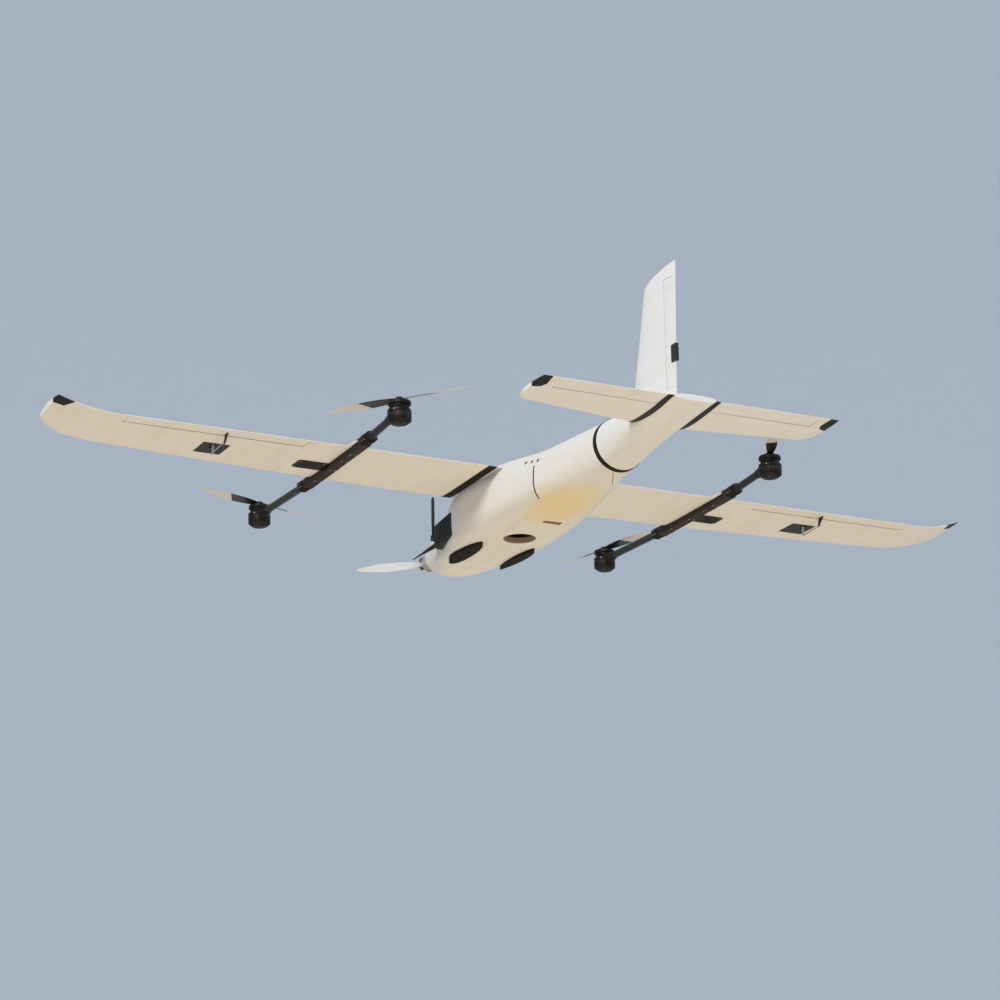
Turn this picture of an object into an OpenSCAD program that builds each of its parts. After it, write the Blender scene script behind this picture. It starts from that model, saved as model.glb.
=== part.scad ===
// Fixed wing drone with four lift rotors on two under-wing booms and a tractor propeller.
// Frame: +Z up, the nose points to -Y, +X is the port side.
// Origin: centre of the round camera port, on the flat belly.

/* [Wing] */
// Wingspan, tip to tip
span = 2400; // [2300:20:3000]
// Wing chord at the root
root_chord = 278; // [250:2:320]
// Wing thickness as a percentage of the chord
wing_thick = 11; // [10:0.5:14]
// Camber of the wing section as a percentage of the chord
wing_camber = 3; // [1:0.5:4]
// Height of the wing's trailing edge above the belly
wing_z = 125; // [118:1:140]
// How much higher the leading edge lies than the trailing edge
le_up = 10; // [0:1:16]
// How far the trailing edge lies behind the camera port
wing_te = 132; // [120:1:160]
// How far the leading edge sweeps back from root to tip
le_sweep = 70; // [40:1:100]
// Rise of the upturned tip at its trailing edge
tip_rise = 33; // [0:1:45]
// Rise of the upturned tip at its leading edge
tip_rise_le = 17; // [0:1:45]
// Chord left at the very tip
tip_chord = 130; // [90:1:160]
// Width of the root rib
rib_w = 24; // [12:1:34]

/* [Ailerons] */
// Length of each aileron
aileron_len = 440; // [360:5:480]
// Chord of each aileron, behind its hinge
aileron_chord = 45; // [35:1:60]
// Distance from the aileron's outer end to the wing tip
aileron_tip_gap = 160; // [150:1:220]

/* [Fuselage] */
// Greatest width
fuse_w = 252; // [220:1:300]
// Height from belly to deck
fuse_h = 184; // [176:1:220]
// Nose length ahead of the camera port
nose_len = 492; // [470:1:600]
// Distance from the camera port back to the tail joint
tail_joint_y = 505; // [480:1:600]
// Diameter at the tail joint
joint_d = 124; // [110:1:134]
// Skin thickness
skin = 4; // [3:0.5:6]
// Bore of the camera port
port_d = 76; // [60:1:90]

/* [Lift booms] */
// Distance of each boom from the centreline
boom_x = 485; // [440:1:520]
// Boom arm diameter
tube_d = 18; // [14:1:22]
// Front rotor axis ahead of the camera port
front_pod_y = 469; // [440:1:540]
// Rear rotor axis behind the camera port
rear_pod_y = 371; // [360:1:450]
// Rotor pod diameter
pod_d = 55; // [48:1:64]
// Lift propeller diameter
lift_prop_d = 370; // [300:5:420]

/* [Nose propeller] */
// Nose propeller diameter
nose_prop_d = 400; // [320:5:460]

/* [Tail] */
// Tailplane span, tip to tip
stab_span = 736; // [640:4:900]
// Fin height above the belly
fin_top = 426; // [380:2:520]

/* [Hidden] */
$fn = 64;

// Clearances
seat = 0.2;         // between fixed pieces that sit on each other
fit = 0.05;         // radial running fit of a shaft in its bore
pin_fit = 0.1;      // radial fit of a linkage pin
flap_gap = 0.6;     // between a control surface's round nose and its cove
end_gap = 0.8;      // at the ends of a control surface
hatch_gap = 0.5;    // around a lift-off hatch

half_span = span / 2;
glove_x = fuse_w / 2 - 5;              // where the fuselage ends and the root rib starts
wing_x = glove_x + rib_w;              // where the wing panel starts
wing_le = wing_te - root_chord;        // leading edge at the root
joint_z = 78;                          // height of the tail joint's centre
nose_z = 82;                           // height of the nose propeller's axis
nose_r = 23;                           // radius of the nose's flat front

// ---------------------------------------------------------------- general shapes

// Value of column c of the key table K at y, by a smooth curve through the keys
function key_at(K, y, i = 0) = i >= len(K) - 2 || y < K[i + 1][0] ? i : key_at(K, y, i + 1);
function key_slope(K, i, c) = let (a = max(i - 1, 0), b = min(i + 1, len(K) - 1))
    (K[b][c] - K[a][c]) / (K[b][0] - K[a][0]);
function at(K, y, c) = let (i = key_at(K, y), h = K[i + 1][0] - K[i][0], t = (y - K[i][0]) / h)
    (2 * t * t * t - 3 * t * t + 1) * K[i][c] + (3 * t * t - 2 * t * t * t) * K[i + 1][c]
    + (t * t * t - 2 * t * t + t) * h * key_slope(K, i, c) + (t * t * t - t * t) * h * key_slope(K, i + 1, c);

// Solid through a list of rings that have the same number of points
module loft(rings) {
    n = len(rings[0]);
    last = (len(rings) - 1) * n;
    polyhedron(
        points = [for (r = rings) for (p = r) p],
        faces = concat([[for (j = [0:n - 1]) j]], [[for (j = [n - 1:-1:0]) last + j]],
            [for (i = [0:len(rings) - 2]) for (j = [0:n - 1]) for (k = [0, 1])
                let (a = i * n + j, b = i * n + (j + 1) % n)
                k == 0 ? [a, b + n, b] : [a, a + n, b + n]]));
}

module side(s) {
    if (s > 0) children();
    else mirror([1, 0, 0]) children();
}
// Draws its children, which lie along Z, along X from x0
module rod_x(x0, x1, y, z, r) { translate([x0, y, z]) rotate([0, 90, 0]) cylinder(r = r, h = x1 - x0); }
module rod_z(x, y, z0, z1, r) { translate([x, y, z0]) cylinder(r = r, h = z1 - z0); }
// Extrudes an outline given in (y, z) from x0 to x1
module plate_x(x0, x1) { translate([x0, 0, 0]) rotate([90, 0, 90]) linear_extrude(x1 - x0) children(); }
module block(x0, x1, y0, y1, z0, z1) { translate([x0, y0, z0]) cube([x1 - x0, y1 - y0, z1 - z0]); }
// Rounded rectangle, centred in x
module round_rect(w, y0, y1, r) {
    for (x = [-w / 2 + r, w / 2 - r]) for (y = [y0 + r, y1 - r]) translate([x, y]) circle(r = r);
    translate([-w / 2, y0 + r]) square([w, y1 - y0 - 2 * r]);
    translate([-w / 2 + r, y0]) square([w - 2 * r, y1 - y0]);
}

// ---------------------------------------------------------------- wing section and planform

function half_thick(u, t) = 5 * t * (0.2969 * sqrt(u) - 0.126 * u - 0.3516 * u * u
    + 0.2843 * u * u * u - 0.1036 * u * u * u * u);
function camber(u, m) = u < 0.4 ? m / 0.16 * (0.8 * u - u * u) : m / 0.36 * (0.2 + 0.8 * u - u * u);
edge = 0.6;                            // half thickness of a trailing edge
// Section from the upper trailing edge, round the nose, to the lower trailing edge;
// z is the trailing edge's height and up is how much higher the leading edge lies
function foil_z(u, c, z, up, t, m, s) = z + up * (1 - u) + (camber(u, m) + s * half_thick(u, t)) * c + s * edge * u;
function foil(le, c, z, up, t, m, n = 12) = concat(
    [for (i = [0:n]) let (u = (1 + cos(180 * i / n)) / 2) [le + u * c, foil_z(u, c, z, up, t, m, 1)]],
    [for (i = [1:n]) let (u = (1 - cos(180 * i / n)) / 2) [le + u * c, foil_z(u, c, z, up, t, m, -1)]]);

tip_round = 90;                        // stretch over which the leading edge rounds off
tip_bend = 150;                        // stretch over which the tip turns up
te_round = 200;                        // stretch over which the trailing edge curves in
te_in = 21;                            // how far it curves in
wt = wing_thick / 100;
wm = wing_camber / 100;
function past(x, from, len) = max(0, (x - from) / len);
function wing_te_y(x) = wing_te - te_in * pow(past(x, half_span - te_round, te_round), 2);
function wing_le_base(x) = wing_le + le_sweep * pow(past(x, wing_x, half_span - wing_x), 1.6);
function wing_le_y(x) = let (v = min(1, past(x, half_span - tip_round, tip_round)))
    wing_le_base(x) + (wing_te_y(x) - tip_chord - wing_le_base(x)) * (1 - sqrt(1 - v * v));
function wing_bend(x) = pow(past(x, half_span - tip_bend, tip_bend), 2);
function wing_section(x) = foil(wing_le_y(x), wing_te_y(x) - wing_le_y(x),
    wing_z + tip_rise * wing_bend(x), le_up + (tip_rise_le - tip_rise) * wing_bend(x), wt, wm);
// Height of the wing's underside, and of the middle of its section, at a point inboard of the bend
function wing_u(x, y) = (y - wing_le_y(x)) / (wing_te_y(x) - wing_le_y(x));
function under(x, y) = foil_z(wing_u(x, y), wing_te_y(x) - wing_le_y(x), wing_z, le_up, wt, wm, -1);
function middle(x, y) = let (c = wing_te_y(x) - wing_le_y(x))
    (foil_z(wing_u(x, y), c, wing_z, le_up, wt, wm, 1) + under(x, y)) / 2;

inner_rings = 5;
outer_rings = 9;
bend_x = half_span - tip_bend;
wing_rings = concat([for (i = [0:inner_rings - 1]) wing_x + seat + (bend_x - wing_x) * i / inner_rings],
    [for (i = [0:outer_rings]) bend_x + tip_bend * sin(90 * i / outer_rings)]);
module wing_solid() {
    loft([for (x = wing_rings) [for (p = wing_section(x)) [x, p[0], p[1]]]]);
}

// ---------------------------------------------------------------- spars

main_spar_y = -50;
main_spar_r = 8;
main_spar_reach = 430;
rear_spar_y = 50;
rear_spar_r = 4;
rear_spar_reach = 260;
main_spar_z = middle(wing_x, main_spar_y);
rear_spar_z = middle(wing_x, rear_spar_y);
module spar_holes(grow) {
    rod_x(-main_spar_reach - grow, main_spar_reach + grow, main_spar_y, main_spar_z, main_spar_r + grow);
    rod_x(-rear_spar_reach - grow, rear_spar_reach + grow, rear_spar_y, rear_spar_z, rear_spar_r + grow);
}
module spar_tube(reach, y, z, r, wall) {
    color([0.08, 0.08, 0.08]) difference() {
        rod_x(-reach, reach, y, z, r);
        rod_x(-reach - 1, reach + 1, y, z, r - wall);
    }
}
module main_spar() { spar_tube(main_spar_reach, main_spar_y, main_spar_z, main_spar_r, 1.5); }
module rear_spar() { spar_tube(rear_spar_reach, rear_spar_y, rear_spar_z, rear_spar_r, 1.2); }

// ---------------------------------------------------------------- fuselage and tail body

hw = fuse_w / 2;
joint_r = joint_d / 2;
// Keys: y, half width, deck height, belly height, roundness above, roundness below
FUSE = [
    [-nose_len, nose_r, nose_z + nose_r, nose_z - nose_r, 2, 2],
    [-nose_len * 0.87, hw * 0.36, fuse_h * 0.64, 24, 2, 2.2],
    [-nose_len * 0.73, hw * 0.53, fuse_h * 0.71, 5, 2, 2.8],
    [-nose_len * 0.52, hw * 0.68, fuse_h * 0.82, 0, 2.1, 4.4],
    [-nose_len * 0.30, hw * 0.90, fuse_h * 0.97, 0, 2.3, 4.6],
    [-60, hw, fuse_h, 0, 2.4, 4.2],
    [tail_joint_y * 0.2, hw * 0.97, fuse_h * 0.90, 0, 2.4, 3.4],
    [tail_joint_y * 0.5, hw * 0.80, fuse_h * 0.80, 2, 2.2, 2.8],
    [tail_joint_y * 0.78, joint_r + 16, joint_z + joint_r + 3, 10, 2.1, 2.2],
    [tail_joint_y, joint_r, joint_z + joint_r, joint_z - joint_r, 2, 2]];
joint_w = 7;
tail_y = tail_joint_y + joint_w;
tail_len = 352;
tail_end = tail_y + tail_len;
stab_z = 76;
TAIL = [
    [tail_y, joint_r, joint_z + joint_r, joint_z - joint_r, 2, 2],
    [tail_y + tail_len * 0.2, joint_r - 2, 130, joint_z - joint_r + 14, 2.1, 2.1],
    [tail_y + tail_len * 0.48, joint_r - 5, 110, 48, 2.3, 2.5],
    [tail_y + tail_len * 0.78, joint_r - 8, 93, 62, 2.5, 3],
    [tail_end, joint_r - 11, stab_z + 6, stab_z - 7, 2.5, 3]];

function power(v, e) = sign(v) * pow(abs(v), e);
sides = 32;
// One cross-section ring, with its surface moved out by grow
function body_ring(K, y, grow) = let (w = at(K, y, 1) + grow, top = at(K, y, 2) + grow,
        bottom = at(K, y, 3) - grow, mid = (top + bottom) / 2, h = (top - bottom) / 2)
    [for (i = [0:sides - 1]) let (a = 360 * i / sides, e = 2 / at(K, y, sin(a) >= 0 ? 4 : 5))
        [w * power(cos(a), e), y, mid + h * power(sin(a), e)]];
module body_solid(K, y0, y1, n, grow) {
    loft([for (i = [n:-1:0]) body_ring(K, y0 + (y1 - y0) * i / n, grow)]);
}
fuse_rings = 24;
tail_rings = 10;
module fuse_solid(grow = 0) { body_solid(FUSE, -nose_len, tail_joint_y - seat, fuse_rings, grow); }
module fuse_inside() {
    body_solid(FUSE, -nose_len + skin + 1, tail_joint_y - seat, fuse_rings, -skin);
    translate([0, tail_joint_y, joint_z]) rotate([90, 0, 0]) cylinder(r = joint_r - skin, h = 2 * seat, center = true);
}
// Height of the inside floor at a point
function floor_z(x, y) = let (w = at(FUSE, y, 1) - skin, top = at(FUSE, y, 2) - skin, bottom = at(FUSE, y, 3) + skin,
    n = at(FUSE, y, 5)) (top + bottom) / 2 - (top - bottom) / 2 * pow(1 - pow(min(1, abs(x) / w), n), 1 / n);

hatch_w = 140;
hatch_front = -330;
hatch_rear = 120;
module hatch_outline(grow) { offset_rect(hatch_w, hatch_front, hatch_rear, 24, grow); }
module offset_rect(w, y0, y1, r, grow) { round_rect(w + 2 * grow, y0 - grow, y1 + grow, r + grow); }
belly_w = 120;
belly_front = 62;
belly_rear = 154;
module belly_outline(grow) { offset_rect(belly_w, belly_front, belly_rear, 10, grow); }

port_r = port_d / 2;
port_wall = 2;
module glove() {
    plate_x(-glove_x, glove_x) polygon(foil(wing_le, root_chord, wing_z, le_up, wt, wm));
}

module fuselage_shell() {
    color([0.93, 0.91, 0.87]) difference() {
        union() {
            fuse_solid();
            glove();
        }
        fuse_inside();
        translate([0, 0, fuse_h / 2]) linear_extrude(fuse_h) hatch_outline(hatch_gap);
        translate([0, 0, -10]) linear_extrude(40) belly_outline(hatch_gap);
        rod_z(0, 0, -10, 40, port_r + port_wall + seat);
        spar_holes(seat);
    }
}
module top_hatch() {
    color([0.93, 0.91, 0.87]) intersection() {
        difference() {
            fuse_solid();
            fuse_inside();
        }
        translate([0, 0, fuse_h / 2]) linear_extrude(fuse_h) hatch_outline(0);
    }
}
latch_y = belly_rear - 9;
latch_slot = [40, 8];
latch_x = -14;
latch_travel = 8;
module belly_hatch() {
    color([0.93, 0.91, 0.87]) difference() {
        intersection() {
            difference() {
                fuse_solid();
                fuse_inside();
            }
            translate([0, 0, -10]) linear_extrude(40) belly_outline(0);
        }
        translate([latch_x, latch_y, 0]) cube([latch_slot[0], latch_slot[1], 30], center = true);
    }
}
module belly_latch() {
    len = latch_slot[0] - latch_travel - 1;
    color([0.62, 0.42, 0.20]) translate([latch_x - latch_slot[0] / 2 + 0.3, latch_y, 0]) {
        translate([0, -latch_slot[1] / 2 + 0.3, 1]) cube([len, latch_slot[1] - 0.6, 2]);
        translate([4, -1, 0.2]) cube([len - 8, 2, 1]);
    }
}
module camera_port_ring() {
    flange_z = floor_z(port_r + port_wall + 7, 0) + 2 * seat;
    color([0.55, 0.42, 0.32]) rotate_extrude() {
        translate([port_r, 0]) square([port_wall, 14]);
        translate([port_r, flange_z]) square([port_wall + 7, 2]);
    }
}
module tail_cone() {
    color([0.93, 0.91, 0.87]) difference() {
        body_solid(TAIL, tail_y + seat, tail_end, tail_rings, 0);
        body_solid(TAIL, tail_y + seat - 0.1, tail_end - 60, tail_rings, -skin);
        rod_x(-100, 100, elev_y, stab_z, elev_rod_r + fit);
    }
}
module tail_joint_ring() {
    spigot_r = joint_r - skin - 0.6;
    tail_spigot_r = spigot_r - 3.5;
    color([0.05, 0.05, 0.05]) translate([0, tail_joint_y, joint_z]) rotate([-90, 0, 0]) rotate_extrude() {
        translate([spigot_r - 5, -20]) square([5, 20.5]);
        translate([spigot_r - 5, 0]) square([joint_r + 0.4 - spigot_r + 5, joint_w]);
        translate([tail_spigot_r - 2, joint_w - 1]) square([2, 11]);
    }
}

// ---------------------------------------------------------------- nose motor and propeller

motor_r = 21.5;
stator_r = 16.5;
shaft_r = 2.5;
prop_hub_s = 25.7;                     // where the propeller sits, ahead of the nose's front
prop_hub_h = 12;
module nose_axis() { translate([0, -nose_len, nose_z]) rotate([90, 0, 0]) children(); }
module ring2d(r0, r1, s0, s1) { translate([r0, s0]) square([r1 - r0, s1 - s0]); }

module nose_motor() {
    color([0.25, 0.25, 0.27]) nose_axis() rotate_extrude() {
        ring2d(shaft_r + fit, motor_r - 0.5, seat, 4);
        ring2d(shaft_r + fit, stator_r, 3.9, 22);
    }
}
module nose_bell() {
    color([0.1, 0.1, 0.1]) nose_axis() rotate_extrude() {
        ring2d(stator_r + 1, motor_r, 4.6, 25.5);
        ring2d(0, motor_r, 22.4, 25.5);
        ring2d(0, shaft_r, 6, 22.5);
        ring2d(0, 4, 25, 44);
    }
}
// Blade along +X from r0 to r1, chord and pitch changing along it
function blade_ring(x, c, a, t) = [for (i = [0:9]) let (b = 360 * i / 10, u = c / 2 * cos(b), v = t / 2 * sin(b))
    [x, u * cos(a) - v * sin(a), u * sin(a) + v * cos(a)]];
module blade(r0, r1, chord, pitch0, pitch1, thick) {
    n = 10;
    loft([for (i = [0:n]) let (u = i / n, x = r0 + (r1 - r0) * u)
        blade_ring(x, chord * (0.45 + 0.62 * sin(150 * pow(u, 0.8))) * (1 - 0.78 * pow(u, 5)),
            pitch0 + (pitch1 - pitch0) * u, thick * (1 - 0.7 * u))]);
}
nose_prop_angle = 168;                 // angle of one blade about the axis, from starboard
module nose_propeller() {
    color([0.88, 0.88, 0.87]) nose_axis() translate([0, 0, prop_hub_s]) difference() {
        rotate([0, 0, nose_prop_angle]) union() {
            cylinder(r = 13, h = prop_hub_h);
            for (a = [0, 180]) rotate([0, 0, a]) translate([0, 0, prop_hub_h / 2])
                blade(10, nose_prop_d / 2, 25, 32, 9, 5);
        }
        translate([0, 0, -1]) cylinder(r = 4 + fit, h = prop_hub_h + 2);
    }
}
spinner_r = 24;
spinner_len = 42;
spinner_wall = 1.6;
module spinner_outline(r, len) {
    n = 12;
    polygon(concat([[0, 0]], [for (i = [0:n]) [r * cos(90 * i / n), len * sin(90 * i / n)]]));
}
module nose_spinner() {
    slot = 32;
    color([0.93, 0.93, 0.92]) nose_axis() translate([0, 0, prop_hub_s]) difference() {
        rotate_extrude() spinner_outline(spinner_r, spinner_len);
        difference() {
            translate([0, 0, -0.1]) rotate_extrude()
                spinner_outline(spinner_r - spinner_wall, spinner_len - spinner_wall);
            translate([0, 0, prop_hub_h + 0.4]) cylinder(r = 10, h = spinner_len);
        }
        cylinder(r = 4 + fit, h = 44 - prop_hub_s + 0.3);
        rotate([0, 0, nose_prop_angle]) translate([0, 0, prop_hub_h / 2])
            cube([spinner_r * 3, slot, 17], center = true);
    }
}

// ---------------------------------------------------------------- belly skids, probe, antenna

skid_x = 70;
skid_y = -154;
skid_len = 196;
skid_w = 34;
skid_drop = 8;
// Leaf outline: the overlap of two equal circles
module leaf(len, w) {
    r = (len * len / 4 + w * w / 4) / w;
    intersection() {
        translate([r - w / 2, 0]) circle(r = r, $fn = 128);
        translate([w / 2 - r, 0]) circle(r = r, $fn = 128);
        square([w, len * 0.94], center = true);
    }
}
module skid() {
    color([0.06, 0.06, 0.06]) difference() {
        translate([skid_x, skid_y, -skid_drop]) linear_extrude(skid_drop + 24) leaf(skid_len, skid_w);
        fuse_solid(seat);
    }
}
probe_front = -262;                    // flat front face of the cheek unit
probe_len = 124;
probe_bottom = 34;
probe_top = 98;
probe_tilt = -6;                       // its outer face follows the nose's taper this far
probe_out = 100;                       // x of its middle
module probe_slab(x0, x1, less) {
    plate_x(x0, x1) translate([0, probe_bottom + less])
        round_rect(probe_len + 8 - 2 * less, 0, probe_top - probe_bottom - 2 * less, 9);
}
module probe_housing() {
    color([0.05, 0.05, 0.05]) difference() {
        intersection() {
            translate([probe_out, probe_front + probe_len / 2, 0]) rotate([0, 0, probe_tilt]) hull() {
                probe_slab(-45, 5, 0);
                probe_slab(5, 10.5, 5);
            }
            block(50, 130, probe_front, probe_front + probe_len + 10, probe_bottom - 1, probe_top + 1);
        }
        fuse_solid(seat);
    }
}
pitot_spot = [95.5, 48];               // x and height of the pitot probe
module pitot_tube() {
    color([0.05, 0.05, 0.05]) translate([pitot_spot[0], probe_front - seat, pitot_spot[1]]) rotate([90, 0, 0]) {
        cylinder(r1 = 6.5, r2 = 4.5, h = 50);
        translate([0, 0, 50]) cylinder(r1 = 4.5, r2 = 2.2, h = 50);
        translate([0, 0, 100]) cylinder(r1 = 2.2, r2 = 1.2, h = 42);
    }
}
whip_spot = [100.5, -275, 60];         // foot of the whip antenna
module whip_antenna() {
    color([0.05, 0.05, 0.05]) {
        block(whip_spot[0] - 5, whip_spot[0] + 4.5, whip_spot[1] - 5, probe_front - seat,
            whip_spot[2], whip_spot[2] + 14);
        translate(whip_spot + [0, 0, 1]) cylinder(r = 3.6, h = 40);
        translate(whip_spot + [0, 0, 41]) cylinder(r1 = 3.6, r2 = 2.2, h = 12);
        translate(whip_spot + [0, 0, 53]) cylinder(r = 2.2, h = 60);
    }
}

// ---------------------------------------------------------------- what is inside

tray = [80, 176, 3];
tray_y = -212;
tray_z = floor_z(tray[0] / 2, tray_y - tray[1] / 2) + 0.3;
battery_size = [72, 160, 62];
module battery_tray() {
    lip = 6;
    color([0.75, 0.62, 0.42]) difference() {
        translate([-tray[0] / 2, tray_y - tray[1] / 2, tray_z]) cube([tray[0], tray[1], tray[2] + lip]);
        translate([-battery_size[0] / 2 - 0.3, tray_y - battery_size[1] / 2 - 0.3, tray_z + tray[2]])
            cube([battery_size[0] + 0.6, battery_size[1] + 0.6, lip + 1]);
    }
}
module battery() {
    z = tray_z + tray[2] + seat;
    color([0.15, 0.25, 0.5]) {
        translate([-battery_size[0] / 2, tray_y - battery_size[1] / 2, z]) cube(battery_size);
    }
}
module autopilot() {
    size = [58, 84, 20];
    y = 222;
    z = max(floor_z(size[0] / 2, y - size[1] / 2), floor_z(size[0] / 2, y + size[1] / 2)) + 0.3;
    color([0.12, 0.12, 0.13]) union() {
        translate([-size[0] / 2, y - size[1] / 2, z]) cube(size);
        for (x = [-18, 0, 18]) translate([x - 6, y - size[1] / 2 + 6, z + size[2] - 0.1]) cube([12, 10, 6]);
    }
}

// ---------------------------------------------------------------- wings, ribs and ailerons

module root_rib(s) {
    color([0.05, 0.05, 0.05]) side(s) difference() {
        plate_x(glove_x + seat, wing_x) polygon(foil(wing_le, root_chord, wing_z, le_up, wt, wm));
        spar_holes(seat);
    }
}

ail_out = half_span - aileron_tip_gap;
ail_in = ail_out - aileron_len;
ail_y = wing_te - aileron_chord;
ail_z = middle((ail_in + ail_out) / 2, ail_y);
ail_r = 5.2;
// Section of a control surface: round nose on the hinge axis, straight to its trailing edge
function flap_ring(y, z, r, te, te_z) = concat(
    [for (a = [90:15:270]) [y + r * cos(a), z + r * sin(a)]], [[te, te_z - edge], [te, te_z + edge]]);
module aileron_solid(grow = 0) {
    loft([for (x = [ail_in, (ail_in + ail_out) / 2, ail_out])
        [for (p = flap_ring(ail_y, ail_z, ail_r + grow, wing_te_y(x) + grow, wing_z)) [x, p[0], p[1]]]]);
}
// Everything that a control surface and its travel take from the panel that carries it
module flap_room(x0, x1, y, z, r, te) {
    rod_x(x0 - end_gap, x1 + end_gap, y, z, r + flap_gap);
    block(x0 - end_gap, x1 + end_gap, y, te + 40, z - 40, z + 40);
}

// Linkage: equal arms, so the pushrod stays parallel to itself
arm_len = 24;
link_w = 2.4;
servo_x = half_span - 405;
servo_y = 12;
servo_z = under(servo_x, servo_y) + 3;
cover = [65, 72, 1.6];
cover_x = servo_x - 5;
cover_y = -8;
cover_tilt = atan2(under(cover_x, cover_y + cover[1] / 2) - under(cover_x, cover_y - cover[1] / 2), cover[1]);
module on_cover() {
    translate([cover_x, cover_y, under(cover_x, cover_y)]) rotate([cover_tilt, 0, 0]) children();
}
module servo_pocket() {
    block(servo_x - 5, servo_x + 20, servo_y - 40, servo_y + 12, under(servo_x, servo_y) - 20, servo_z + 16);
    on_cover() cube([cover[0] + 2 * seat, cover[1] + 2 * seat, cover[2] + 2 * seat], center = true);
}

cap_size = 46;
module tip_corner(grow) {
    te = wing_te_y(half_span);
    translate([0, 0, wing_z - 20]) linear_extrude(tip_rise + 80) polygon([
        [half_span - cap_size * 0.95 - grow, te + 30], [half_span - cap_size * 0.5 - grow, te - cap_size * 0.75],
        [half_span + 5, te - cap_size * 0.95 - grow], [half_span + 5, te + 30]]);
}
module wing(s) {
    color([0.93, 0.91, 0.87]) side(s) difference() {
        wing_solid();
        spar_holes(seat);
        flap_room(ail_in, ail_out, ail_y, ail_z, ail_r, wing_te);
        servo_pocket();
        tip_corner(seat);
    }
}
module wing_tip_caps() {
    color([0.05, 0.05, 0.05]) for (s = [-1, 1]) side(s) intersection() {
        wing_solid();
        tip_corner(0);
    }
}
module aileron(s) { color([0.93, 0.91, 0.87]) side(s) aileron_solid(); }

module link_eye(y, z, x, r) { rod_x(x - link_w / 2, x + link_w / 2, y, z, r); }
module servo_arm(x, y, z, len) {
    difference() {
        hull() {
            link_eye(y, z, x, 4);
            link_eye(y, z - len, x, 2.6);
        }
        rod_x(x - 5, x + 5, y, z, 1.5 + fit);
        rod_x(x - 5, x + 5, y, z - len, 0.9 + pin_fit);
    }
}
module servo_case(x, y, z) {
    block(x + 2, x + 14, y - 26, y + 8, z - 2, z + 12);
    rod_x(x - 1.2, x + 3, y, z, 1.5);
}
module pushrod(x, y0, z0, y1, z1) {
    bar = x + link_w / 2 + 2;
    len = norm([y1 - y0, z1 - z0]);
    translate([bar, y0, z0]) rotate([-90 + atan2(z1 - z0, y1 - y0), 0, 0]) cylinder(r = 1.4, h = len);
    for (p = [[y0, z0], [y1, z1]]) {
        rod_x(x - link_w / 2 - 0.4, bar + 0.2, p[0], p[1], 0.9);
        rod_x(bar - 1.6, bar + 1.6, p[0], p[1], 2.4);
    }
}
module aileron_horn(s) {
    color([0.05, 0.05, 0.05]) side(s) difference() {
        hull() {
            link_eye(ail_y, ail_z - arm_len, servo_x, 2.6);
            block(servo_x - link_w / 2, servo_x + link_w / 2, ail_y + 5, ail_y + 24, ail_z - 5, ail_z - 2);
        }
        rod_x(servo_x - 5, servo_x + 5, ail_y, ail_z - arm_len, 0.9 + pin_fit);
        aileron_solid(0.15);
    }
}
module aileron_servo(s) {
    color([0.07, 0.07, 0.07]) side(s) {
        servo_case(servo_x, servo_y, servo_z);
        difference() {
            on_cover() cube([cover[0], cover[1], cover[2]], center = true);
            block(servo_x - 2.2, servo_x + 5.2, servo_y - 15, servo_y + 15, servo_z - 30, servo_z + 30);
        }
    }
}
module aileron_arm(s) { color([0.85, 0.85, 0.85]) side(s) servo_arm(servo_x, servo_y, servo_z, arm_len); }
module aileron_pushrod(s) {
    color([0.6, 0.6, 0.62]) side(s)
        pushrod(servo_x, servo_y, servo_z - arm_len, ail_y, ail_z - arm_len);
}

// ---------------------------------------------------------------- lift booms and rotors

boom_z = 124;                          // where the arms leave the saddle
arm_front = -160;
arm_rear = 185;
pod_z = 135;                           // where the arms meet the pods
pod_r = pod_d / 2;
tube_r = tube_d / 2;
pod_bottom = 105;
pod_top = 143;
socket_len = 34;
front_run = [front_pod_y + arm_front, pod_z - boom_z];
rear_run = [rear_pod_y - arm_rear, pod_z - boom_z];
// Children along Z from the saddle end of an arm toward its pod
module along_arm(front) {
    run = front ? front_run : rear_run;
    tilt = 90 - atan2(run[1], run[0]);
    translate([boom_x, front ? arm_front : arm_rear, boom_z]) rotate([front ? tilt : -tilt, 0, 0]) children();
}
function arm_length(front) = norm(front ? front_run : rear_run);
clamp_len = 30;
module boom_clamp(front) {
    along_arm(front) {
        cylinder(r = tube_r + 5, h = clamp_len);
        for (x = [-1, 1]) translate([x * (tube_r + 4), 0, clamp_len / 2])
            cube([9, 12, clamp_len - 8], center = true);
    }
}
module boom_saddle(s) {
    bar_w = tube_d + 9;
    plate = [88, 52];
    color([0.05, 0.05, 0.05]) side(s) difference() {
        union() {
            block(boom_x - bar_w / 2, boom_x + bar_w / 2, arm_front, arm_rear, boom_z - 12, wing_z + 7);
            block(boom_x, boom_x + plate[0], -plate[1] - 1, -1, under(boom_x, -27) - 2, wing_z + 4);
            for (front = [true, false]) boom_clamp(front);
        }
        loft([for (x = [boom_x - bar_w, boom_x + plate[0] + 10])
            [for (p = foil(wing_le_y(x) - 3 * seat, wing_te_y(x) - wing_le_y(x) + 6 * seat,
                wing_z - seat, le_up, wt * 1.03, wm)) [x, p[0], p[1]]]]);
        block(boom_x - bar_w, boom_x + bar_w, 30, wing_te + 1, wing_z - 1, wing_z + 9);
        for (front = [true, false]) along_arm(front) translate([0, 0, -12]) cylinder(r = tube_r + seat, h = 90);
    }
}
module boom_arms(s) {
    color([0.05, 0.05, 0.05]) side(s) for (front = [true, false]) along_arm(front) difference() {
        translate([0, 0, -10]) cylinder(r = tube_r, h = arm_length(front) - pod_r + 10);
        translate([0, 0, -11]) cylinder(r = tube_r - 1.5, h = arm_length(front) + 10);
    }
}
rotor_shaft_r = 3;
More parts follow.
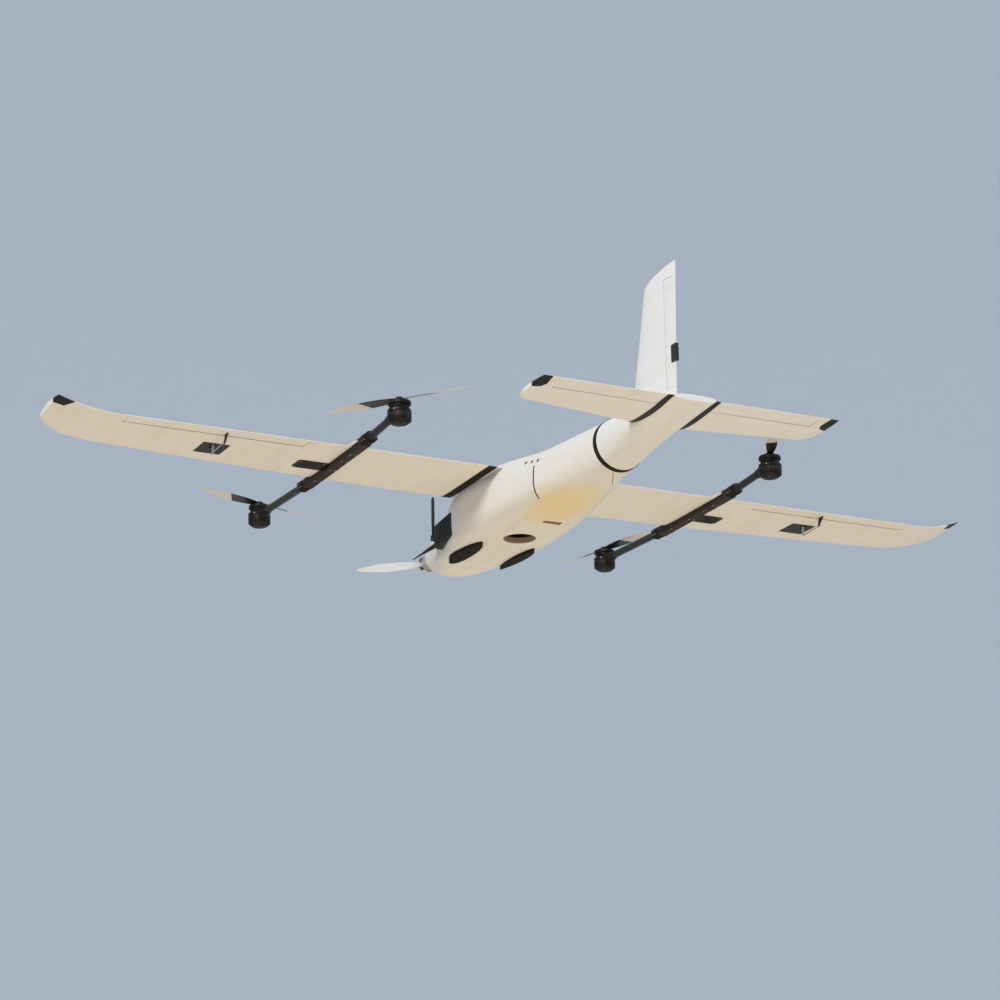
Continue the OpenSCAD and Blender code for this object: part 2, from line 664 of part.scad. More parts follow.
module pod(front) {
    y = front ? -front_pod_y : rear_pod_y;
    color([0.05, 0.05, 0.05]) difference() {
        union() {
            translate([boom_x, y, 0]) rotate_extrude() polygon([[0, pod_bottom], [pod_r - 7, pod_bottom],
                [pod_r, pod_bottom + 7], [pod_r, pod_top - 6], [pod_r - 3, pod_top - 3],
                [pod_r - 5, pod_top], [0, pod_top]]);
            along_arm(front) translate([0, 0, arm_length(front) - pod_r - socket_len + 5])
                cylinder(r1 = tube_r + 1.6, r2 = tube_r + 6, h = socket_len);
        }
        along_arm(front) translate([0, 0, -10]) cylinder(r = tube_r + fit, h = arm_length(front) - pod_r + 10 + seat);
        rod_z(boom_x, y, pod_bottom + 15, pod_top + 1, rotor_shaft_r + fit);
    }
}
module lift_blade() { blade(8, lift_prop_d / 2, 26, 22, 8, 4); }
module rotor(front, angle) {
    y = front ? -front_pod_y : rear_pod_y;
    bell_foot = pod_top + 7;           // it widens above the arm's socket
    hub_z = pod_top + 16;
    color([0.12, 0.12, 0.12]) translate([boom_x, y, 0]) union() {
        rod_z(0, 0, pod_top + 0.4, bell_foot, pod_r - 5);
        rod_z(0, 0, bell_foot, hub_z, pod_r - 1);
        rod_z(0, 0, pod_bottom + 18, pod_top + 1, rotor_shaft_r);
        rod_z(0, 0, hub_z - 1, hub_z + 10, 11);
        rotate([0, 0, angle]) for (a = [0, 180]) rotate([0, 0, a]) translate([0, 0, hub_z + 5]) lift_blade();
    }
}

// ---------------------------------------------------------------- tail surfaces

st = 0.09;                             // thickness of the tail sections, as a share of the chord
stab_x = joint_r + 4;
stab_tip = stab_span / 2;
stab_le = 672;
stab_te = 860;
function stab_u(x) = past(x, stab_x, stab_tip - stab_x);
stab_round = 24;
function stab_le_y(x) = stab_le + 42 * stab_u(x)
    + 50 * (1 - sqrt(1 - pow(min(1, past(x, stab_tip - stab_round, stab_round)), 2)));
elev_y = 808;
elev_rod_r = 3;
elev_in = stab_x + 1;
elev_out = stab_tip - 45;
function elev_nose(x) = 4.8 - 1.8 * stab_u(x);
stab_ring_n = 6;
stab_rings = concat([for (i = [0:3]) stab_x + (stab_tip - stab_round - stab_x) * i / 4],
    [for (i = [0:stab_ring_n]) stab_tip - stab_round + stab_round * sin(90 * i / stab_ring_n)]);
function stab_section(x, t) = foil(stab_le_y(x), stab_te - stab_le_y(x), stab_z, 0, t, 0, 9);
module stab(s) {
    color([0.93, 0.91, 0.87]) side(s) difference() {
        loft([for (x = stab_rings) [for (p = stab_section(x, st)) [x, p[0], p[1]]]]);
        elevator_solid(end_gap, flap_gap);
        rod_x(stab_x - 1, elev_in, elev_y, stab_z, elev_rod_r + flap_gap);
        block(stab_x - 1, elev_out + end_gap, elev_y, stab_te + 20, stab_z - 30, stab_z + 30);
    }
}
module elevator_solid(longer = 0, grow = 0) {
    loft([for (x = [elev_in - longer, elev_out + longer])
        [for (p = flap_ring(elev_y, stab_z, elev_nose(x) + grow, stab_te, stab_z)) [x, p[0], p[1]]]]);
}
module elevator(s) {
    color([0.93, 0.91, 0.87]) side(s) difference() {
        elevator_solid();
        rod_x(elev_in - 1, elev_in + 40 + seat, elev_y, stab_z, elev_rod_r + fit);
    }
}
module elevator_rod() {
    color([0.3, 0.3, 0.3]) rod_x(-elev_in - 40, elev_in + 40, elev_y, stab_z, elev_rod_r);
}
module stab_root_fillets() {
    color([0.05, 0.05, 0.05]) for (s = [-1, 1]) side(s) difference() {
        plate_x(joint_r - 20, stab_x - seat) polygon(stab_section(stab_x, st * 1.25));
        body_solid(TAIL, tail_y + seat, tail_end, tail_rings, seat);
        rod_x(0, 100, elev_y, stab_z, elev_rod_r + fit);
    }
}

fin_le = 571;
fin_te = 779;
fin_base = 88;
fin_shoulder = fin_top - 29;           // height where the leading edge starts to round over
fin_le_lean = 80;
fin_te_lean = 15;
function fin_te_y(z) = fin_te + fin_te_lean * (z - fin_base) / (fin_top - fin_base);
function fin_le_y(z) = z <= fin_shoulder ? fin_le + fin_le_lean * (z - fin_base) / (fin_shoulder - fin_base)
    : let (top_le = fin_le + fin_le_lean, a = asin((z - fin_shoulder) / (fin_top - fin_shoulder)))
        top_le + (fin_te + fin_te_lean - top_le) * (1 - cos(a));
fin_rings = concat([for (i = [0:3]) fin_base + (fin_shoulder - fin_base) * i / 4],
    [for (a = [0:11:77]) fin_shoulder + (fin_top - fin_shoulder) * sin(a)]);
rudder_y = 745;
rudder_r = 3.8;
rudder_bottom = 132;
rudder_top = fin_shoulder - 4;
link_z = 210;
rudder_servo_y = 700;
rudder_arm_len = 20;
module fin_solid() {
    loft([for (z = fin_rings) [for (p = foil(fin_le_y(z), fin_te_y(z) - fin_le_y(z), 0, 0, st * 1.1, 0, 9))
        [-p[1], p[0], z]]]);
}
module fin() {
    color([0.93, 0.92, 0.90]) difference() {
        fin_solid();
        body_solid(TAIL, tail_y + seat, tail_end, tail_rings, seat);
        rod_z(0, rudder_y, rudder_bottom - end_gap, rudder_top + end_gap, rudder_r + flap_gap);
        block(-30, 30, rudder_y, fin_te + 60, rudder_bottom - end_gap, rudder_top + end_gap);
        block(-20, 6.2, rudder_servo_y - 22, rudder_servo_y + 8, link_z - 18, link_z + 8);
    }
}
module rudder_solid(grow = 0) {
    loft([for (z = [rudder_bottom, rudder_top])
        [for (p = flap_ring(rudder_y, 0, rudder_r + grow, fin_te_y(z) + grow, 0)) [-p[1], p[0], z]]]);
}
module rudder() { color([0.93, 0.92, 0.90]) rudder_solid(); }
module rudder_horn() {
    plate_y = rudder_y + 24;
    color([0.05, 0.05, 0.05]) difference() {
        union() {
            hull() {
                rod_z(-rudder_arm_len, rudder_y, link_z - link_w / 2, link_z + link_w / 2, 2.6);
                block(-4, -1, rudder_y + 3, rudder_y + 34, link_z - link_w / 2, link_z + link_w / 2);
            }
            block(-4.2, 4.2, plate_y, plate_y + 20, link_z - 20, link_z + 20);
        }
        rod_z(-rudder_arm_len, rudder_y, link_z - 5, link_z + 5, 0.9 + pin_fit);
        rudder_solid(0.15);
    }
}
module rudder_servo() {
    color([0.07, 0.07, 0.07]) {
        block(-6, 6, rudder_servo_y - 20, rudder_servo_y + 6, link_z - 16, link_z - 2);
        rod_z(0, rudder_servo_y, link_z - 3, link_z + 1.2, 1.5);
    }
}
module rudder_arm() {
    color([0.85, 0.85, 0.85]) difference() {
        hull() {
            rod_z(0, rudder_servo_y, link_z - link_w / 2, link_z + link_w / 2, 4);
            rod_z(-rudder_arm_len, rudder_servo_y, link_z - link_w / 2, link_z + link_w / 2, 2.6);
        }
        rod_z(0, rudder_servo_y, link_z - 5, link_z + 5, 1.5 + fit);
        rod_z(-rudder_arm_len, rudder_servo_y, link_z - 5, link_z + 5, 0.9 + pin_fit);
    }
}
module rudder_pushrod() {
    bar = link_z + link_w / 2 + 2;
    color([0.6, 0.6, 0.62]) {
        translate([-rudder_arm_len, rudder_servo_y, bar]) rotate([-90, 0, 0])
            cylinder(r = 1.4, h = rudder_y - rudder_servo_y);
        for (y = [rudder_servo_y, rudder_y]) {
            rod_z(-rudder_arm_len, y, link_z - link_w / 2 - 0.4, bar + 0.2, 0.9);
            rod_z(-rudder_arm_len, y, bar - 1.6, bar + 1.6, 2.4);
        }
    }
}

// ---------------------------------------------------------------- nodes

fuselage_shell();
tail_cone();
tail_joint_ring();
top_hatch();
belly_hatch();
belly_latch();
camera_port_ring();
nose_motor();
nose_bell();
nose_propeller();
nose_spinner();
skid();  // skid_port
side(-1) skid();  // skid_starboard
probe_housing();
pitot_tube();
whip_antenna();
battery_tray();
battery();
autopilot();
main_spar();
rear_spar();
root_rib(1);  // root_rib_port
root_rib(-1);  // root_rib_starboard
wing(1);  // wing_port
wing(-1);  // wing_starboard
wing_tip_caps();
aileron(1);  // aileron_port
aileron(-1);  // aileron_starboard
aileron_horn(1);  // aileron_horn_port
aileron_horn(-1);  // aileron_horn_starboard
aileron_servo(1);  // aileron_servo_port
aileron_servo(-1);  // aileron_servo_starboard
aileron_arm(1);  // aileron_arm_port
aileron_arm(-1);  // aileron_arm_starboard
aileron_pushrod(1);  // aileron_pushrod_port
aileron_pushrod(-1);  // aileron_pushrod_starboard
boom_saddle(1);  // boom_saddle_port
boom_saddle(-1);  // boom_saddle_starboard
boom_arms(1);  // boom_arms_port
boom_arms(-1);  // boom_arms_starboard
pod(true);  // pod_front_port
side(-1) pod(true);  // pod_front_starboard
pod(false);  // pod_rear_port
side(-1) pod(false);  // pod_rear_starboard
rotor(true, 16.5);  // rotor_front_port
side(-1) rotor(true, 78.4);  // rotor_front_starboard
rotor(false, 127);  // rotor_rear_port
side(-1) rotor(false, 117.4);  // rotor_rear_starboard
stab(1);  // stab_port
stab(-1);  // stab_starboard
stab_root_fillets();
elevator(1);  // elevator_port
elevator(-1);  // elevator_starboard
elevator_rod();
fin();
rudder();
rudder_horn();
rudder_servo();
rudder_arm();
rudder_pushrod();
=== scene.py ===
"""Looks of a fixed wing drone with four lift rotors, built around its CAD frame."""
import math

import bmesh
import bpy
from mathutils import Matrix, Vector


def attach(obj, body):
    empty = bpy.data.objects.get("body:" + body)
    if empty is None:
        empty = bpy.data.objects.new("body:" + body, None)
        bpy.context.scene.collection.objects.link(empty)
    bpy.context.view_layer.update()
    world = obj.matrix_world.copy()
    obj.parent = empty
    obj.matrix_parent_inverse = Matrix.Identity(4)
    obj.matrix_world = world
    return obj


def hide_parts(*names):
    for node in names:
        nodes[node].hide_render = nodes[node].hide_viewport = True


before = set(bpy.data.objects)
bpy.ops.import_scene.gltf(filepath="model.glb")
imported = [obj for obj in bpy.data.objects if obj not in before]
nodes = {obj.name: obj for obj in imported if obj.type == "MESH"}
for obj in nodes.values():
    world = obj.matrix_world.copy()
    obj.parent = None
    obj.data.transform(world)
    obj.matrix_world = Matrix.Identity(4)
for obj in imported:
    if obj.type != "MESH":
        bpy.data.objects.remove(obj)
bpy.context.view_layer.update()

MM = 0.001
PORT, STARBOARD = 1, -1
SIDES = ((PORT, "port"), (STARBOARD, "starboard"))
scene = bpy.context.scene


# ---------------------------------------------------------------- materials

class Look:
    """A node-built material, with the few building steps that all of them share."""

    def __init__(self, name, rough=0.5, metallic=0.0, coat=0.0, specular=0.5):
        self.mat = bpy.data.materials.new(name)
        self.mat.use_nodes = True
        self.tree = self.mat.node_tree
        self.shader = self.tree.nodes["Principled BSDF"]
        self.shader.inputs["Roughness"].default_value = rough
        self.shader.inputs["Metallic"].default_value = metallic
        self.shader.inputs["Specular IOR Level"].default_value = specular
        if coat:
            self.shader.inputs["Coat Weight"].default_value = coat
            self.shader.inputs["Coat Roughness"].default_value = 0.12
        self.coords = self.tree.nodes.new("ShaderNodeTexCoord").outputs["Object"]
        self.height = None

    def node(self, kind, **values):
        n = self.tree.nodes.new("ShaderNode" + kind)
        for key, value in values.items():
            setattr(n, key, value)
        return n

    def link(self, a, b):
        self.tree.links.new(a, b)

    def stretched(self, scale, turn=(0, 0, 0)):
        """Object coordinates, turned and then scaled along each axis."""
        m = self.node("Mapping")
        m.inputs["Scale"].default_value = scale
        m.inputs["Rotation"].default_value = turn
        self.link(self.coords, m.inputs["Vector"])
        return m.outputs["Vector"]

    def noise(self, scale, detail=3.0, rough=0.55, vector=None):
        n = self.node("TexNoise")
        n.inputs["Scale"].default_value = scale
        n.inputs["Detail"].default_value = detail
        n.inputs["Roughness"].default_value = rough
        self.link(vector or self.coords, n.inputs["Vector"])
        return n.outputs["Fac"]

    def ramp(self, fac, low, high, a=0.0, b=1.0):
        """fac between low and high, spread over a to b."""
        m = self.node("MapRange")
        for key, value in zip(("From Min", "From Max", "To Min", "To Max"), (low, high, a, b)):
            m.inputs[key].default_value = value
        self.link(fac, m.inputs["Value"])
        return m.outputs["Result"]

    def math(self, kind, a, b):
        m = self.node("Math", operation=kind)
        for socket, value in zip(m.inputs, (a, b)):
            if isinstance(value, (int, float)):
                socket.default_value = value
            else:
                self.link(value, socket)
        return m.outputs[0]

    def mix(self, fac, a, b):
        m = self.node("Mix", data_type="RGBA")
        self.link(fac, m.inputs[0])
        for socket, value in ((m.inputs[6], a), (m.inputs[7], b)):
            if isinstance(value, tuple):
                socket.default_value = (*value, 1)
            else:
                self.link(value, socket)
        return m.outputs[2]

    def colour(self, output):
        self.link(output, self.shader.inputs["Base Color"])

    def roughness(self, output):
        self.link(output, self.shader.inputs["Roughness"])

    def bump(self, height, distance, strength=1.0):
        """Adds one layer of relief, distance metres deep."""
        n = self.node("Bump")
        n.inputs["Strength"].default_value = strength
        n.inputs["Distance"].default_value = distance
        self.link(height, n.inputs["Height"])
        if self.height is not None:
            self.link(self.height, n.inputs["Normal"])
        self.height = n.outputs["Normal"]
        self.link(self.height, self.shader.inputs["Normal"])


def skin_look(name, base, aged, light_pool=False):
    """Matt painted foam: a fine bead grain, faint mottling, streaks along the flow and a few specks, and, on
    request, a painted pool of warm yellowish light on the mid-belly.
    """
    k = Look(name, rough=0.55, specular=0.35)
    mottle = k.ramp(k.noise(5, 5), 0.35, 0.7)
    streaks = k.ramp(k.noise(1, 4, 0.6, k.stretched((26, 2.2, 26))), 0.5, 0.75, 0, 0.5)
    colour = k.mix(mottle, base, tuple(c * 0.97 for c in base))
    colour = k.mix(streaks, colour, aged)
    specks = k.ramp(k.noise(420, 1), 0.70, 0.76, 0, 0.35)
    colour = k.mix(specks, colour, tuple(c * 0.72 for c in aged))
    # Painted light: a soft warm yellowish pool on the belly behind the wing, standing in for light reflected
    # onto the foam and shining through it, painted into the colour.
    if light_pool:
        split = k.node("SeparateXYZ")
        k.link(k.coords, split.inputs[0])
        total = None
        for axis, centre, spread in (("X", 0.015, 0.085), ("Y", 0.26, 0.15), ("Z", 0.0, 0.06)):
            d = k.math("DIVIDE", k.math("SUBTRACT", split.outputs[axis], centre), spread)
            square = k.math("MULTIPLY", d, d)
            total = square if total is None else k.math("ADD", total, square)
        wander = k.ramp(k.noise(14, 3), 0.3, 0.7, -0.35, 0.35)
        patch = k.ramp(k.math("ADD", total, wander), 1.25, 0.1, 0, 0.85)
        colour = k.mix(patch, colour, (0.88, 0.70, 0.36))
    k.colour(colour)
    k.roughness(k.ramp(k.noise(40, 4), 0.3, 0.7, 0.46, 0.64))
    k.bump(k.noise(900, 2), 0.00012, 0.5)
    k.bump(k.noise(60, 3), 0.0004, 0.25)
    return k.mat


def plastic_look(name, base, worn, rough=(0.36, 0.6), grain=1300, specular=0.45):
    """Moulded plastic: spark-eroded grain, rubbed edges and fine scratches."""
    k = Look(name, specular=specular)
    rub = k.ramp(k.noise(75, 5, 0.65), 0.56, 0.8, 0, 0.5)
    scratch = k.ramp(k.noise(1, 3, 0.6, k.stretched((900, 60, 340), (0.3, 0.5, 0.9))), 0.66, 0.74, 0, 0.45)
    edges = k.ramp(k.node("NewGeometry").outputs["Pointiness"], 0.52, 0.6, 0, 0.6)
    colour = k.mix(rub, base, tuple((b + w) / 2 for b, w in zip(base, worn)))
    colour = k.mix(scratch, colour, worn)
    k.colour(k.mix(edges, colour, worn))
    k.roughness(k.ramp(k.noise(120, 4), 0.3, 0.7, *rough))
    k.bump(k.noise(grain, 2), 0.0001, 0.55)
    return k.mat


def carbon_look(name, pitch=430):
    """Twill-woven carbon under satin resin."""
    k = Look(name, rough=0.42, coat=0.12, specular=0.25)
    weave = []
    for turn in (0.785, -0.785):
        w = k.node("TexWave", wave_type="BANDS", bands_direction="DIAGONAL", wave_profile="SIN")
        w.inputs["Scale"].default_value = pitch
        w.inputs["Distortion"].default_value = 0.4
        k.link(k.stretched((1, 1, 1), (turn, turn * 0.7, turn)), w.inputs["Vector"])
        weave.append(w.outputs["Fac"])
    cross = k.math("GREATER_THAN", *weave)
    resin = k.ramp(k.noise(90, 4), 0.3, 0.75)
    tows = k.mix(cross, (0.006, 0.006, 0.006), (0.018, 0.016, 0.015))
    k.colour(k.mix(k.math("MULTIPLY", resin, 0.45), tows, (0.026, 0.022, 0.019)))
    k.roughness(k.ramp(resin, 0, 1, 0.30, 0.5))
    k.bump(cross, 0.00008, 0.5)
    return k.mat


def metal_look(name, base, dark, rough=(0.25, 0.42), stretch=(120, 900, 900)):
    """Machined or drawn metal with tool marks along it and dull fingerprints."""
    k = Look(name, metallic=0.92)
    marks = k.noise(1, 3, 0.6, k.stretched(stretch))
    k.colour(k.mix(k.ramp(marks, 0.35, 0.7), base, dark))
    k.roughness(k.ramp(k.noise(55, 4), 0.3, 0.7, *rough))
    k.bump(marks, 0.00005, 0.6)
    return k.mat


def prop_look(name, base, shade, coat):
    """Glossy moulded blade with faint flow lines along it and specks of dust."""
    k = Look(name, rough=0.3, coat=coat)
    flow = k.ramp(k.noise(1, 4, 0.6, k.stretched((9, 9, 160))), 0.4, 0.72, 0, 0.55)
    dust = k.ramp(k.noise(260, 3), 0.6, 0.78, 0, 0.4)
    k.colour(k.mix(dust, k.mix(flow, base, shade), tuple(c * 0.8 for c in shade)))
    k.roughness(k.ramp(k.noise(150, 3), 0.3, 0.7, 0.24, 0.42))
    k.bump(k.noise(500, 2), 0.00006, 0.5)
    return k.mat


def wood_look(name):
    """Thin birch plywood, with its grain along Y."""
    k = Look(name, rough=0.6, specular=0.3)
    grain = k.noise(1, 6, 0.65, k.stretched((420, 16, 420)))
    rings = k.noise(1, 3, 0.5, k.stretched((60, 5, 60)))
    colour = k.mix(k.ramp(grain, 0.35, 0.7), (0.66, 0.48, 0.29), (0.50, 0.33, 0.18))
    k.colour(k.mix(k.ramp(rings, 0.45, 0.7, 0, 0.6), colour, (0.74, 0.58, 0.38)))
    k.bump(grain, 0.00015, 0.6)
    return k.mat


def wrap_look(name, base, dark):
    """Heat-shrunk film: glossy, with soft wrinkles."""
    k = Look(name, rough=0.3, coat=0.3)
    folds = k.noise(1, 4, 0.5, k.stretched((60, 18, 60)))
    k.colour(k.mix(k.ramp(folds, 0.35, 0.7), base, dark))
    k.bump(folds, 0.0012, 0.4)
    return k.mat


SKIN = skin_look("painted_foam", (0.83, 0.80, 0.745), (0.70, 0.64, 0.54))
BELLY = skin_look("painted_foam_belly_light_pool", (0.83, 0.80, 0.745), (0.70, 0.64, 0.54), light_pool=True)
TAIL_SKIN = skin_look("painted_foam_tail", (0.84, 0.83, 0.80), (0.72, 0.69, 0.63))
BLACK = plastic_look("black_plastic", (0.008, 0.007, 0.006), (0.040, 0.035, 0.031), (0.4, 0.62), 1300, 0.2)
RUBBER = plastic_look("black_rubber", (0.012, 0.009, 0.007), (0.040, 0.030, 0.021), (0.6, 0.85), 600, 0.15)
CARBON = carbon_look("carbon_twill")
PLATE = plastic_look("black_plate", (0.011, 0.008, 0.006), (0.050, 0.036, 0.026), (0.5, 0.7), 800, 0.15)
METAL = metal_look("dark_anodised", (0.10, 0.10, 0.11), (0.05, 0.05, 0.055))
STEEL = metal_look("steel", (0.62, 0.61, 0.60), (0.42, 0.41, 0.40))
WHITE_PROP = prop_look("white_blade", (0.68, 0.67, 0.655), (0.56, 0.55, 0.54), 0.5)
DARK_PROP = prop_look("dark_blade", (0.016, 0.015, 0.015), (0.035, 0.032, 0.030), 0.25)
TAN = plastic_look("brown_plastic", (0.42, 0.26, 0.19), (0.56, 0.40, 0.30), (0.5, 0.7))
LATCH = plastic_look("ochre_plastic", (0.22, 0.105, 0.022), (0.40, 0.23, 0.07), (0.45, 0.6))
SEAM = plastic_look("seam_sealant", (0.075, 0.042, 0.024), (0.16, 0.10, 0.06), (0.5, 0.7))
NYLON = plastic_look("white_nylon", (0.72, 0.71, 0.68), (0.5, 0.49, 0.47), (0.4, 0.55))
WOOD = wood_look("birch_plywood")
WRAP = wrap_look("battery_wrap", (0.03, 0.07, 0.22), (0.015, 0.03, 0.10))


# ---------------------------------------------------------------- mesh tools

def new_object(name, verts, faces, mat=None, scale=MM):
    """A mesh object from points in millimetres, with its faces turned outward."""
    me = bpy.data.meshes.new(name)
    me.from_pydata([Vector(v) * scale for v in verts], [], faces)
    bm = bmesh.new()
    bm.from_mesh(me)
    bmesh.ops.remove_doubles(bm, verts=bm.verts, dist=1e-7)
    bmesh.ops.recalc_face_normals(bm, faces=bm.faces)
    bm.to_mesh(me)
    bm.free()
    ob = bpy.data.objects.new(name, me)
    scene.collection.objects.link(ob)
    if mat:
        me.materials.append(mat)
    return ob


def loft(name, rings, mat=None):
    """Closed solid through rings of equally many points."""
    n = len(rings[0])
    faces = [tuple(range(n)), tuple((len(rings) - 1) * n + j for j in range(n))]
    for i in range(len(rings) - 1):
        for j in range(n):
            a, b = i * n + j, i * n + (j + 1) % n
            faces.append((a, b, b + n, a + n))
    return new_object(name, [p for r in rings for p in r], faces, mat)


def prism(name, outline, low, high, axis="z", mat=None):
    """An outline of 2-D points pushed from low to high along an axis."""
    place = {"z": lambda u, v, w: (u, v, w), "x": lambda u, v, w: (w, u, v), "y": lambda u, v,
             w: (u, w, v)}[axis]
    return loft(name, [[place(u, v, w) for u, v in outline] for w in (low, high)], mat)


def box(name, x, y, z, mat=None):
    return prism(name, [(x[0], y[0]), (x[1], y[0]), (x[1], y[1]), (x[0], y[1])], z[0], z[1], "z", mat)


def lathe(name, profile, at=(0, 0, 0), direction=(0, 0, 1), steps=64, mat=None):
    """Turns a profile of (radius, distance along the axis) that starts and ends on the axis, or closes."""
    turn = Vector((0, 0, 1)).rotation_difference(Vector(direction)).to_matrix()
    origin = Vector(at)
    verts, faces = [], []
    n = len(profile)
    for i in range(steps):
        a = 2 * math.pi * i / steps
        verts += [turn @ Vector((r * math.cos(a), r * math.sin(a), s)) + origin for r, s in profile]
    closed = profile[0][0] > 1e-6
    for i in range(steps):
        for j in range(n if closed else n - 1):
            k, m = (j + 1) % n, (i + 1) % steps
            faces.append((i * n + j, i * n + k, m * n + k, m * n + j))
    return new_object(name, verts, faces, mat)


def disc_profile(r, low, high, bevel):
    """Profile of a plain turned disc with both edges eased."""
    return [(0, low), (r - bevel, low), (r - bevel * 0.3, low + bevel * 0.3), (r, low + bevel),
            (r, high - bevel), (r - bevel * 0.3, high - bevel * 0.3), (r - bevel, high), (0, high)]


def bake(ob):
    """Applies an object's modifiers."""
    bpy.context.view_layer.update()
    dg = bpy.context.evaluated_depsgraph_get()
    me = bpy.data.meshes.new_from_object(ob.evaluated_get(dg), depsgraph=dg)
    ob.modifiers.clear()
    ob.data = me
    return ob


def boolean(ob, kind, tools):
    """Cuts ob with, or joins it to, a list of closed solids, which are used up."""
    for tool in tools:
        m = ob.modifiers.new(kind, "BOOLEAN")
        m.operation, m.object, m.solver = kind, tool, "MANIFOLD"
    bake(ob)
    for tool in tools:
        bpy.data.objects.remove(tool)
    return ob


def cut(ob, *tools):
    return boolean(ob, "DIFFERENCE", tools)


def common(ob, *tools):
    return boolean(ob, "INTERSECT", tools)


def fuse(ob, *tools):
    return boolean(ob, "UNION", tools)


def smooth(ob, angle=32, ease=0.0):
    """Shades smooth between sharp edges, and rounds those edges by ease millimetres."""
    if ease:
        m = ob.modifiers.new("ease", "BEVEL")
        m.width, m.segments, m.limit_method, m.angle_limit = ease * MM, 2, "ANGLE", math.radians(angle)
        bake(ob)
    bm = bmesh.new()
    bm.from_mesh(ob.data)
    bmesh.ops.remove_doubles(bm, verts=bm.verts, dist=1e-6)
    bmesh.ops.dissolve_degenerate(bm, edges=bm.edges, dist=1e-6)
    limit = math.radians(angle)
    for f in bm.faces:
        f.smooth = True
    for e in bm.edges:
        e.smooth = not (len(e.link_faces) == 2 and e.calc_face_angle(0) > limit)
    bm.to_mesh(ob.data)
    bm.free()
    return ob


def piece(ob, body="airframe", replaces=(), mat=None, angle=32, ease=0.0):
    """Finishes a piece: material, shading, the body it rides on and the nodes it stands for."""
    if mat:
        ob.data.materials.clear()
        ob.data.materials.append(mat)
    smooth(ob, angle, ease)
    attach(ob, body)
    if replaces:
        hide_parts(*replaces)
    return ob


def flip(ob, x=-1, y=1):
    """Mirrors a mesh in place."""
    ob.data.transform(Matrix.Diagonal((x, y, 1, 1)))
    ob.data.flip_normals()
    return ob


def mirrored(ob, name):
    """A copy on the starboard side."""
    return flip(copy_of(ob, name))


def copy_of(ob, name, matrix=Matrix.Identity(4)):
    """A copy moved by a matrix in metres."""
    twin = bpy.data.objects.new(name, ob.data.copy())
    scene.collection.objects.link(twin)
    twin.data.transform(matrix)
    return twin


def joined(name, objects):
    """Several meshes as one object."""
    bm = bmesh.new()
    mats = []
    for ob in objects:
        start = len(bm.faces)
        bm.from_mesh(ob.data)
        bm.faces.ensure_lookup_table()
        index = []
        for m in ob.data.materials:
            if m not in mats:
                mats.append(m)
            index.append(mats.index(m))
        for f in bm.faces[start:]:
            f.material_index = index[f.material_index] if index else 0
    me = bpy.data.meshes.new(name)
    bm.to_mesh(me)
    bm.free()
    for m in mats:
        me.materials.append(m)
    for ob in objects:
        bpy.data.objects.remove(ob)
    out = bpy.data.objects.new(name, me)
    scene.collection.objects.link(out)
    return out


def paint(names, mat):
    """Gives carried-over CAD nodes a material; their meshes stay as they are."""
    for name in names:
        ob = nodes[name]
        for i in range(max(1, len(ob.material_slots))):
            if not ob.material_slots:
                ob.data.materials.append(mat)
            ob.material_slots[i].link = "OBJECT"
            ob.material_slots[i].material = mat


# ---------------------------------------------------------------- the part's surfaces, in millimetres

HALF, ROOT_CHORD, THICK, CAMBER = 1200, 278, 0.11, 0.03
WING_Z, LE_UP, WING_TE = 125, 10, 132
WING_LE = WING_TE - ROOT_CHORD
LE_SWEEP, TIP_RISE, TIP_RISE_LE, TIP_CHORD = 70, 33, 17, 130
TIP_ROUND, TIP_BEND, TE_ROUND, TE_IN, EDGE = 90, 150, 200, 21, 0.6
FUSE_HALF, FUSE_H, NOSE_LEN, JOINT_Y, JOINT_R, SKIN_T = 126, 184, 492, 505, 62, 4
JOINT_Z, NOSE_Z, NOSE_R, SEAT = 78, 82, 23, 0.2
GLOVE_X, RIB_W = FUSE_HALF - 5, 24
WING_X = GLOVE_X + RIB_W
TAIL_Y, TAIL_LEN, STAB_Z = JOINT_Y + 7, 352, 76
TAIL_END = TAIL_Y + TAIL_LEN

FUSE = ((-NOSE_LEN, NOSE_R, NOSE_Z + NOSE_R, NOSE_Z - NOSE_R, 2, 2),
        (-NOSE_LEN * 0.87, FUSE_HALF * 0.36, FUSE_H * 0.64, 24, 2, 2.2),
        (-NOSE_LEN * 0.73, FUSE_HALF * 0.53, FUSE_H * 0.71, 5, 2, 2.8),
        (-NOSE_LEN * 0.52, FUSE_HALF * 0.68, FUSE_H * 0.82, 0, 2.1, 4.4),
        (-NOSE_LEN * 0.30, FUSE_HALF * 0.90, FUSE_H * 0.97, 0, 2.3, 4.6),
        (-60, FUSE_HALF, FUSE_H, 0, 2.4, 4.2),
        (JOINT_Y * 0.2, FUSE_HALF * 0.97, FUSE_H * 0.90, 0, 2.4, 3.4),
        (JOINT_Y * 0.5, FUSE_HALF * 0.80, FUSE_H * 0.80, 2, 2.2, 2.8),
        (JOINT_Y * 0.78, JOINT_R + 16, JOINT_Z + JOINT_R + 3, 10, 2.1, 2.2),
        (JOINT_Y, JOINT_R, JOINT_Z + JOINT_R, JOINT_Z - JOINT_R, 2, 2))
TAIL = ((TAIL_Y, JOINT_R, JOINT_Z + JOINT_R, JOINT_Z - JOINT_R, 2, 2),
        (TAIL_Y + TAIL_LEN * 0.2, JOINT_R - 2, 130, JOINT_Z - JOINT_R + 14, 2.1, 2.1),
        (TAIL_Y + TAIL_LEN * 0.48, JOINT_R - 5, 110, 48, 2.3, 2.5),
        (TAIL_Y + TAIL_LEN * 0.78, JOINT_R - 8, 93, 62, 2.5, 3),
        (TAIL_END, JOINT_R - 11, STAB_Z + 6, STAB_Z - 7, 2.5, 3))


